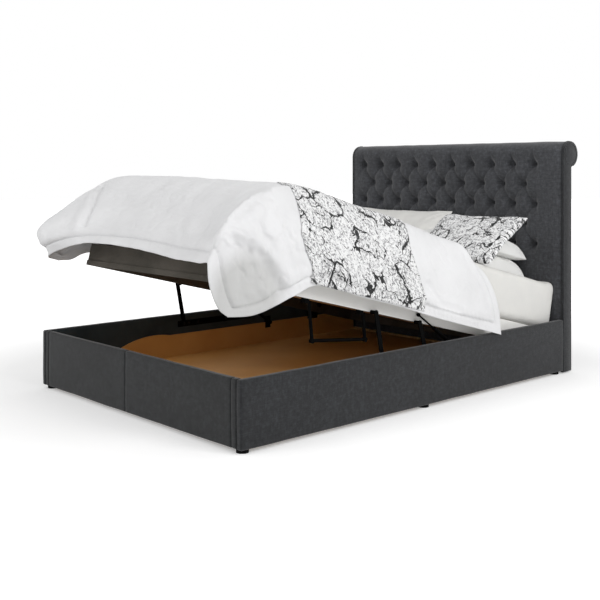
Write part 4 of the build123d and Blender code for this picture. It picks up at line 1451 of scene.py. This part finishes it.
    # Chosen folds: a line through points, how wide it is and how far it pushes the cloth out or in
    strokes: tuple = (
        # far corner of the foot slope
        (((-.720, .151, .626), (-.618, .072, .522), (-.575, .031, .448), (-.554, .017, .385)),
         15 * MM, -17 * MM),
        (((-.690, .099, .572), (-.618, .016, .445), (-.600, -.001, .383)), 34 * MM, 13 * MM),
        (((-.764, -.059, .325), (-.705, -.046, .364)), 20 * MM, -5 * MM),
        # hip of the near corner, down to the pinch in the hem
        (((.733, .062, .613), (.789, -.063, .517), (.803, -.136, .434), (.802, -.186, .369),
          (.795, -.203, .320)),
         15 * MM, -9 * MM),
        (((.779, .036, .573), (.790, -.038, .530), (.786, -.093, .498), (.788, -.125, .468)),
         18 * MM, -7 * MM),
        # roll over the flap, and the hollow under it
        (((.804, -.204, .318), (.812, -.169, .372), (.819, -.128, .397), (.832, -.065, .389),
          (.836, .022, .347), (.842, .097, .308), (.840, .157, .242), (.834, .205, .219)),
         24 * MM, 15 * MM),
        (((.816, -.188, .313), (.822, -.151, .351), (.829, -.107, .365), (.836, -.034, .338),
          (.832, .043, .289), (.838, .103, .231), (.836, .137, .196)),
         36 * MM, -19 * MM),
        (((.815, -.199, .293), (.828, -.160, .246), (.833, -.128, .191), (.832, -.094, .138)),
         16 * MM, 6 * MM),
        (((.826, -.121, .368), (.835, -.090, .307), (.836, -.071, .218), (.834, -.061, .149)),
         15 * MM, -7 * MM),
        (((.835, -.058, .359), (.833, .003, .290), (.830, .012, .215), (.825, .073, .181)),
         18 * MM, 7 * MM),
        # the bright side above it
        (((.760, .073, .602), (.810, .068, .532), (.836, .097, .464), (.837, .130, .382),
          (.834, .172, .304)),
         22 * MM, -7 * MM),
        (((.816, -.046, .477), (.837, .008, .430), (.837, .088, .371)), 26 * MM, 7 * MM),
        (((.831, .153, .283), (.827, .214, .261), (.825, .271, .273)), 20 * MM, 8 * MM),
        # foot slope, and over the ridge
        (((.455, .003, .434), (.475, -.040, .361), (.459, -.050, .329)), 15 * MM, -6 * MM),
        (((.235, .029, .423), (.312, -.006, .372)), 20 * MM, -5 * MM),
        (((.10, .270, .690), (.12, .170, .590)), 40 * MM, -5 * MM),
        (((-.25, .300, .710), (-.27, .200, .620)), 45 * MM, -5 * MM),
        # near hem beyond the runner
        (((.829, 1.040, .391), (.828, 1.106, .340), (.825, 1.190, .309), (.825, 1.296, .307)),
         17 * MM, -10 * MM),
        (((.826, 1.050, .316), (.821, 1.164, .280), (.821, 1.290, .278), (.820, 1.520, .273)),
         20 * MM, 9 * MM),
        (((.749, 1.338, .607), (.791, 1.427, .535), (.822, 1.506, .424), (.822, 1.587, .322)),
         26 * MM, 7 * MM),
    )

    def surface(self) -> np.ndarray:
        """The outer surface as a dense grid, with lines kept at the flange's seam."""
        net = np.array(self.net, float)
        crosswise = np.stack([spline(row, self.across) for row in net])
        dense = np.stack([spline(crosswise[:, column], self.along) for column in range(self.across)], axis=1)
        edge = (0.0, 6 * MM, 20 * MM, 36 * MM, 45 * MM, 50 * MM, 55 * MM, 66 * MM, 84 * MM)
        rows = np.stack([resampled(row, edge, self.across - 2 * len(edge)) for row in dense])
        wide = tuple(place * self.foot_flange for place in edge)
        inner = self.along - 2 * len(edge)
        return np.stack([resampled(strand, wide, inner) for strand in rows.transpose(1, 0, 2)], axis=1)

    @staticmethod
    def cloth_places(grid: np.ndarray) -> np.ndarray:
        """The cloth's own coordinates: metres walked across it from its middle, and along it."""
        across = np.linalg.norm(np.diff(grid, axis=1), axis=2)
        along = np.linalg.norm(np.diff(grid, axis=0), axis=2)
        u = np.concatenate([np.zeros((grid.shape[0], 1)), np.cumsum(across, axis=1)], axis=1)
        v = np.concatenate([np.zeros((1, grid.shape[1])), np.cumsum(along, axis=0)], axis=0)
        return np.stack([u - u[:, -1:] / 2, v], axis=2)

    def from_hem(self, grid: np.ndarray) -> np.ndarray:
        """The distance of each grid point from the nearest hem, walked over the cloth."""
        places = self.cloth_places(grid)
        u = places[..., 0]
        v = places[..., 1] / self.foot_flange
        return np.minimum(np.minimum(u - u[:, :1], u[:, -1:] - u), np.minimum(v, v[-1:] - v))

    def stroked(self, grid: np.ndarray) -> np.ndarray:
        """Offsets of the chosen folds, each strongest along its line."""
        total = np.zeros(grid.shape[:2])
        flat = grid.reshape(-1, 3)
        for points, width, depth in self.strokes:
            line = spline(np.array(points, float), 4 * len(points))
            line = np.array([flat[np.argmin(np.linalg.norm(flat - point, axis=1))] for point in line])
            nearest = np.full(grid.shape[:2], 9.0)
            for start, end in zip(line, line[1:]):
                way = end - start
                share = np.clip(((grid - start) @ way) / max(way @ way, 1e-9), 0.0, 1.0)
                gap = np.linalg.norm(grid - start - share[..., None] * way, axis=2)
                nearest = np.minimum(nearest, gap)
            total += depth * bump(nearest, 0.0, width)
        return total

    def folds(self, grid: np.ndarray, reach: np.ndarray) -> np.ndarray:
        """Offsets along the normal: soft waves, creases and the puckers beside the seam."""
        inside = smooth(reach, self.flange, self.flange + self.folds_by)
        top = smooth(grid[..., 2], *self.top_between)
        hanging = grid * np.array([1.0, 1.0, 0.35])
        waves = field_noise(hanging, self.waves_per_m, 2.3, 2) * self.wave * (1 - 0.3 * top)
        low = field_noise(grid, self.creases_per_m, 5.9, 3)
        creases = -np.maximum(0.0, 0.12 - np.abs(low)) / 0.12 * self.crease
        apart = np.linalg.norm(grid - np.array(self.rumple_middle), axis=2)
        rumpled = 1 + 2.2 * (1 - smooth(apart, self.rumple_core, self.rumple_reach))
        small = field_noise(grid, self.small_creases_per_m, 8.8, 3) * self.small_crease * rumpled
        creases = creases * rumpled
        places = self.cloth_places(grid)
        pucker = np.sin(places[..., 0] * 175) * np.sin(places[..., 1] * 190 + 1.0)
        pucker = pucker * self.pucker * bump(reach, self.flange, self.pucker_width)
        seam = -self.seam_depth * bump(reach, self.flange, self.seam_width)
        border = self.border * bump(reach, self.flange + self.border_in, self.border_width)
        flutter = field_noise(hanging, self.flutters_per_m, 14.2, 2) * self.flutter
        flutter = flutter * (1 - inside) * (1 - top)
        stroked = self.stroked(grid) * smooth(reach, *self.strokes_between)
        soft = (waves + creases) * inside + small * (0.4 + 0.6 * inside)
        return soft + stroked + flutter + pucker + seam + border

    def build(self, finishes: Finishes) -> np.ndarray:
        """Makes the duvet.

        Returns:
            The outer surface as a grid, for the runner to lie on.
        """
        base = self.surface()
        reach = self.from_hem(base)
        normals = grid_normals(base)
        outer = base + normals * self.folds(base, reach)[..., None]
        grown = past(reach, self.flange, self.fill_past_flange)
        thickness = self.hem_thickness + (self.fill_thickness - self.hem_thickness) * grown
        thickness = thickness - self.seam_pinch * bump(reach, self.flange, self.pinch_width)
        low_side = 1 - smooth(base[..., 2], *self.thin_between)
        thickness = thickness * (1 - 0.45 * low_side * grown)
        inner = outer - grid_normals(outer) * thickness[..., None]
        shown = np.array([0.0, FOOT_FACE, 0.0])
        places = self.cloth_places(base)
        obj = opened_piece(closed_sheet("draped_duvet", outer + shown, inner + shown, places))
        finished(obj, finishes.duvet, Body.PLATFORM, Slot.WHITE_LINEN, "duvet")
        return outer


@dataclass
class Runner:
    """The printed runner laid over the duvet and hanging to its hems."""

    foot_line: float = 178 * MM  # on the near side's upper part; further on lower down
    foot_lean: float = 122 * MM
    foot_line_far: float = 430 * MM
    head_line: float = 900 * MM
    head_lean: float = 145 * MM
    hem_foot: float = 270 * MM
    hem_head: float = 262 * MM
    clear: float = 2.2 * MM
    thickness: float = 2.2 * MM
    along: int = 96
    across: int = 240
    head_line_far: float = 960 * MM
    waver: float = 5 * MM
    wavers_per_m: float = 3.0
    probe: float = 600 * MM  # where each strand of the duvet is asked how high and far over it is
    far_between: tuple[float, float] = (0.28, 0.66)
    high_between: tuple[float, float] = (0.27, 0.56)

    def build(self, finishes: Finishes, duvet: np.ndarray) -> None:
        """Makes the runner on the duvet's surface."""
        normals = grid_normals(duvet)
        lifted = duvet + normals * (self.clear + self.thickness)
        rows = []
        for share in np.linspace(0, 1, self.along):
            row = []
            for column in range(lifted.shape[1]):
                strand = lifted[:, column]
                across, height = (
                    float(np.interp(self.probe, strand[:, 1], strand[:, axis])) for axis in (0, 2)
                )
                low = float(1 - smooth(height, *self.high_between))
                far = float(1 - smooth(across, *self.far_between)) * (1 - low)
                start = self.foot_line + self.foot_lean * low + (self.foot_line_far - self.foot_line) * far
                end = self.head_line + self.head_lean * low + (self.head_line_far - self.head_line) * far
                line = start + (end - start) * share
                x = np.interp(line, strand[:, 1], strand[:, 0])
                z = np.interp(line, strand[:, 1], strand[:, 2])
                row.append((x, line, z))
            hem = self.hem_foot + (self.hem_head - self.hem_foot) * share
            rows.append(self.hemmed(np.array(row), hem))
        outer = np.stack(rows)
        across_bed = outer * np.array([1.0, 0.0, 1.0])
        outer[..., 1] += field_noise(across_bed, self.wavers_per_m, 12.0, 2) * self.waver
        inner = outer - grid_normals(outer) * self.thickness
        shown = np.array([0.0, FOOT_FACE, 0.0])
        places = Duvet.cloth_places(outer)
        obj = opened_piece(closed_sheet("printed_runner", outer + shown, inner + shown, places))
        finished(obj, finishes.runner, Body.PLATFORM, Slot.PRINT_LINEN, "runner")

    def hemmed(self, row: np.ndarray, hem: float) -> np.ndarray:
        """One row across the bed, ended at the hem's height on both sides."""
        middle = len(row) // 2
        ends = []
        for half in (row[middle::-1], row[middle:]):
            fall = half[:, 2]
            below = np.nonzero(fall <= hem)[0]
            if len(below):
                last = below[0]
                part = (fall[last - 1] - hem) / max(fall[last - 1] - fall[last], 1e-6)
                end = half[last - 1] + (half[last] - half[last - 1]) * part
                half = np.concatenate([half[:last], end[None]])
            else:
                end = half[-1].copy()
                end[2] = hem
                half = np.concatenate([half, end[None]])
            ends.append(half)
        whole = np.concatenate([ends[0][::-1], ends[1][1:]])
        walked = lengths_along(whole)
        places = np.linspace(0, walked[-1], self.across)
        return np.stack([np.interp(places, walked, whole[:, axis]) for axis in range(3)], axis=1)


@dataclass
class Pillow:
    """A pillow in its case: crowned, its sides drawn in, creased at the corners and seams."""

    node: str
    length: float
    width: float
    height: float
    x: float
    foot_line: float
    tilt: float = 0.0
    lift: float = 0.0
    seed: float = 1.0
    draw_in: float = 22 * MM
    blunt: float = 3.2
    rounding: float = 0.02
    seat: float = 572.5 * MM
    seam_level: float = 0.5  # the seam's height as a share of the pillow's
    soft: float = 7 * MM
    soft_per_m: float = 6.5
    fine: float = 2.2 * MM
    fine_per_m: float = 26.0
    ray: float = 2.6 * MM  # creases that fan out from the corners
    ray_from_corner: float = 90 * MM
    ray_width: float = 75 * MM
    count: int = 72

    def faces(self) -> tuple[np.ndarray, np.ndarray, np.ndarray]:
        """The upper and lower face on the origin's plane, and the case's own coordinates."""
        steps = np.sin(np.linspace(-math.pi / 2, math.pi / 2, self.count))
        u, v = np.meshgrid(steps, steps, indexing="ij")
        half_x = self.length / 2
        half_y = self.width / 2
        x = u * (half_x - self.draw_in * (1 - v ** 2) * u ** 2)
        y = v * (half_y - self.draw_in * (1 - u ** 2) * v ** 2)
        corner_in = 1 - self.rounding * np.abs(u * v) ** 6
        x = x * corner_in
        y = y * corner_in
        body = (1 - np.abs(u) ** (self.blunt + 1.5)) * (1 - np.abs(v) ** self.blunt)
        half_height = self.height / 2 * np.clip(body, 0, 1) ** 0.5
        corner = np.hypot(half_x - np.abs(x), half_y - np.abs(y))
        angle = np.arctan2(half_y - np.abs(y), half_x - np.abs(x) + 1e-6)
        faces = []
        for side in (1, -1):
            flat = np.stack([x, y, np.full_like(x, side * 0.1)], axis=2)
            soft = field_noise(flat, self.soft_per_m, self.seed, 3) * self.soft
            flatter = flat * np.array([1.0, 1.0, 0.5])
            fine = field_noise(flatter, self.fine_per_m, self.seed + 4, 3) * self.fine
            rays = np.sin(angle * 17 + self.seed) * self.ray
            rays = rays * bump(corner, self.ray_from_corner, self.ray_width)
            edge = np.clip(half_height / (self.height / 2), 0, 1)
            z = half_height + (soft + fine + rays) * smooth(edge, 0.0, 0.45)
            share = 2 * (1 - self.seam_level) if side > 0 else 2 * self.seam_level
            level = self.height * self.seam_level + side * share * np.maximum(z, 0.0)
            faces.append(np.stack([x, y, level], axis=2))
        return faces[0], faces[1], np.stack([x, y], axis=2)

    def placed(self, points: np.ndarray, drop: float = 0.0) -> np.ndarray:
        """Points of the case, leaned back and set down at the pillow's place."""
        lean = math.radians(self.tilt)
        y = points[..., 1] * math.cos(lean) - points[..., 2] * math.sin(lean)
        z = points[..., 1] * math.sin(lean) + points[..., 2] * math.cos(lean)
        middle = self.foot_line + self.width / 2 * math.cos(lean) + self.height / 2 * math.sin(lean)
        return np.stack([points[..., 0] + self.x, y + bed_y(middle), z - drop], axis=-1)

    def build(self, material: Material, slot: Slot) -> None:
        """Makes the pillow."""
        upper, lower, places = self.faces()
        low = min(self.placed(upper)[..., 2].min(), self.placed(lower)[..., 2].min())
        drop = low - self.seat - self.lift
        upper, lower = self.placed(upper, drop), self.placed(lower, drop)
        obj = closed_sheet(f"{self.node}_cased", upper, lower, places)
        finished(opened_piece(obj), material, Body.PLATFORM, slot, self.node)


# The studio


@dataclass(frozen=True)
class Studio:
    """Floor, backdrop, lamps and camera."""

    eye: tuple[float, float, float] = (3.724, -2.355, 1.105)  # Y from the foot panel's face
    heading: float = 47.61
    lens: float = 57.95
    shift: float = -0.215
    world: float = 0.54
    key_place: tuple[float, float, float] = (5.2, 0.1, 3.6)
    key_size: float = 3.0
    key_power: float = 158.0
    fill_place: tuple[float, float, float] = (-1.0, -8.5, 5.0)
    fill_size: float = 4.0
    fill_power: float = 226.0
    aim: tuple[float, float, float] = (0.0, 0.0, 0.5)
    floor_half: float = 30.0
    # The floor's own white grows from the bed outwards, so that the bed's shadow stays
    glow_from: float = 1.7
    glow_to: float = 3.4
    glow_near: float = 0.27
    glow_far: float = 0.8

    @staticmethod
    def seen(tree: Tree) -> Socket:
        """1 for what the camera, gloss and glass see, and 0 for light that falls on matt surfaces."""
        path = add(tree, "ShaderNodeLightPath").outputs
        return highest(tree, path["Is Camera Ray"], path["Is Glossy Ray"], path["Is Transmission Ray"])

    def backdrop(self) -> None:
        """A white world, brighter to the camera, glass and metal than to matt surfaces."""
        world = bpy.data.worlds.new("white_room")
        bpy.context.scene.world = world
        world.use_nodes = True
        tree = world.node_tree
        tree.nodes.clear()
        strength = weighed(tree, (self.seen(tree), 1.0 - self.world), base=self.world)
        light = add(tree, "ShaderNodeBackground", {"Color": linear("#ffffff"), "Strength": strength})
        add(tree, "ShaderNodeOutputWorld", {"Surface": light})

    def floor(self) -> None:
        """A white floor that keeps the bed's soft shadow."""
        reach = self.floor_half
        corners = [(-reach, -reach, 0), (reach, -reach, 0), (reach, reach, 0), (-reach, reach, 0)]
        plane = new_object("studio_floor", np.array(corners), [(0, 1, 2, 3)], False)
        material, tree, shader = new_material("white_floor")
        place = add(tree, "ShaderNodeTexCoord").outputs["Object"]
        away = add(tree, "ShaderNodeVectorMath", {0: place}, operation="LENGTH").outputs["Value"]
        ends = {
            "From Min": self.glow_from, "From Max": self.glow_to,
            "To Min": self.glow_near, "To Max": self.glow_far,
        }
        rise = add(tree, "ShaderNodeMapRange", {"Value": away, **ends})
        glow = add(tree, "ShaderNodeMath", {0: self.seen(tree), 1: rise}, operation="MULTIPLY")
        connect(tree, shader, {
            "Base Color": linear("#f4f4f4"),
            "Roughness": 0.9,
            "Specular IOR Level": 0.0,
            "Emission Color": linear("#ffffff"),
            "Emission Strength": glow,
        })
        plane.data.materials.append(material)

    def lamp(self, name: str, place: tuple, size: float, power: float) -> None:
        """One soft square lamp aimed at the bed."""
        data = bpy.data.lights.new(name, "AREA")
        data.shape = "SQUARE"
        data.size = size
        data.energy = power
        obj = bpy.data.objects.new(name, data)
        bpy.context.scene.collection.objects.link(obj)
        obj.location = place
        obj.rotation_euler = (Vector(self.aim) - Vector(place)).to_track_quat("-Z", "Y").to_euler()

    def camera(self) -> None:
        """The camera at the photograph's place, level, with its view shifted down."""
        data = bpy.data.cameras.new("camera")
        data.sensor_width = 36.0
        data.lens = self.lens
        data.shift_y = self.shift
        data.clip_end = 200.0
        obj = bpy.data.objects.new("camera", data)
        bpy.context.scene.collection.objects.link(obj)
        obj.location = (self.eye[0], bed_y(self.eye[1]), self.eye[2])
        obj.rotation_euler = (math.radians(90), 0.0, math.radians(self.heading))
        bpy.context.scene.camera = obj

    def build(self) -> None:
        """Sets up the studio."""
        self.backdrop()
        self.floor()
        self.lamp("key_lamp", self.key_place, self.key_size, self.key_power)
        self.lamp("fill_lamp", self.fill_place, self.fill_size, self.fill_power)
        self.camera()
        bpy.context.scene.view_settings.view_transform = "Standard"


def main() -> None:
    """Builds the bed's pieces in order, then the studio around them."""
    logging.basicConfig(level=logging.INFO, format="%(name)s: %(message)s")
    finishes = Finishes()
    finishes.dress_cad()
    BasePanels().build(finishes)
    Headboard().build(finishes)
    Mattress().build(finishes)
    duvet = Duvet().build(finishes)
    Runner().build(finishes, duvet)
    near = {
        "length": 572 * MM, "width": 392 * MM, "height": 110 * MM, "x": 298 * MM,
        "draw_in": 10 * MM, "blunt": 4.5, "seam_level": 0.16,
    }
    lower = Pillow("pillow_near_lower", foot_line=1755.5 * MM, seed=2.0, **near)
    upper = Pillow("pillow_near_upper", foot_line=1752.5 * MM, lift=98 * MM, seed=7.0, **near)
    far = Pillow(
        "pillow_far", length=800 * MM, width=425 * MM, height=95 * MM, x=-335 * MM,
        foot_line=1871.5 * MM, tilt=61.0, seed=11.0,
    )
    patterned = Pillow(
        "pillow_patterned", length=560 * MM, width=410 * MM, height=75 * MM, x=489 * MM,
        foot_line=1556.5 * MM, tilt=47.5, seed=16.0,
    )
    lower.build(finishes.pillow, Slot.WHITE_LINEN)
    upper.build(finishes.pillow, Slot.WHITE_LINEN)
    # The far pillow takes the sheet's darker white: painted shade
    far.build(finishes.sheet, Slot.WHITE_LINEN)
    patterned.build(finishes.cushion, Slot.PRINT_LINEN)
    Studio().build()
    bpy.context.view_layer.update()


if __name__ == "__main__":
    main()
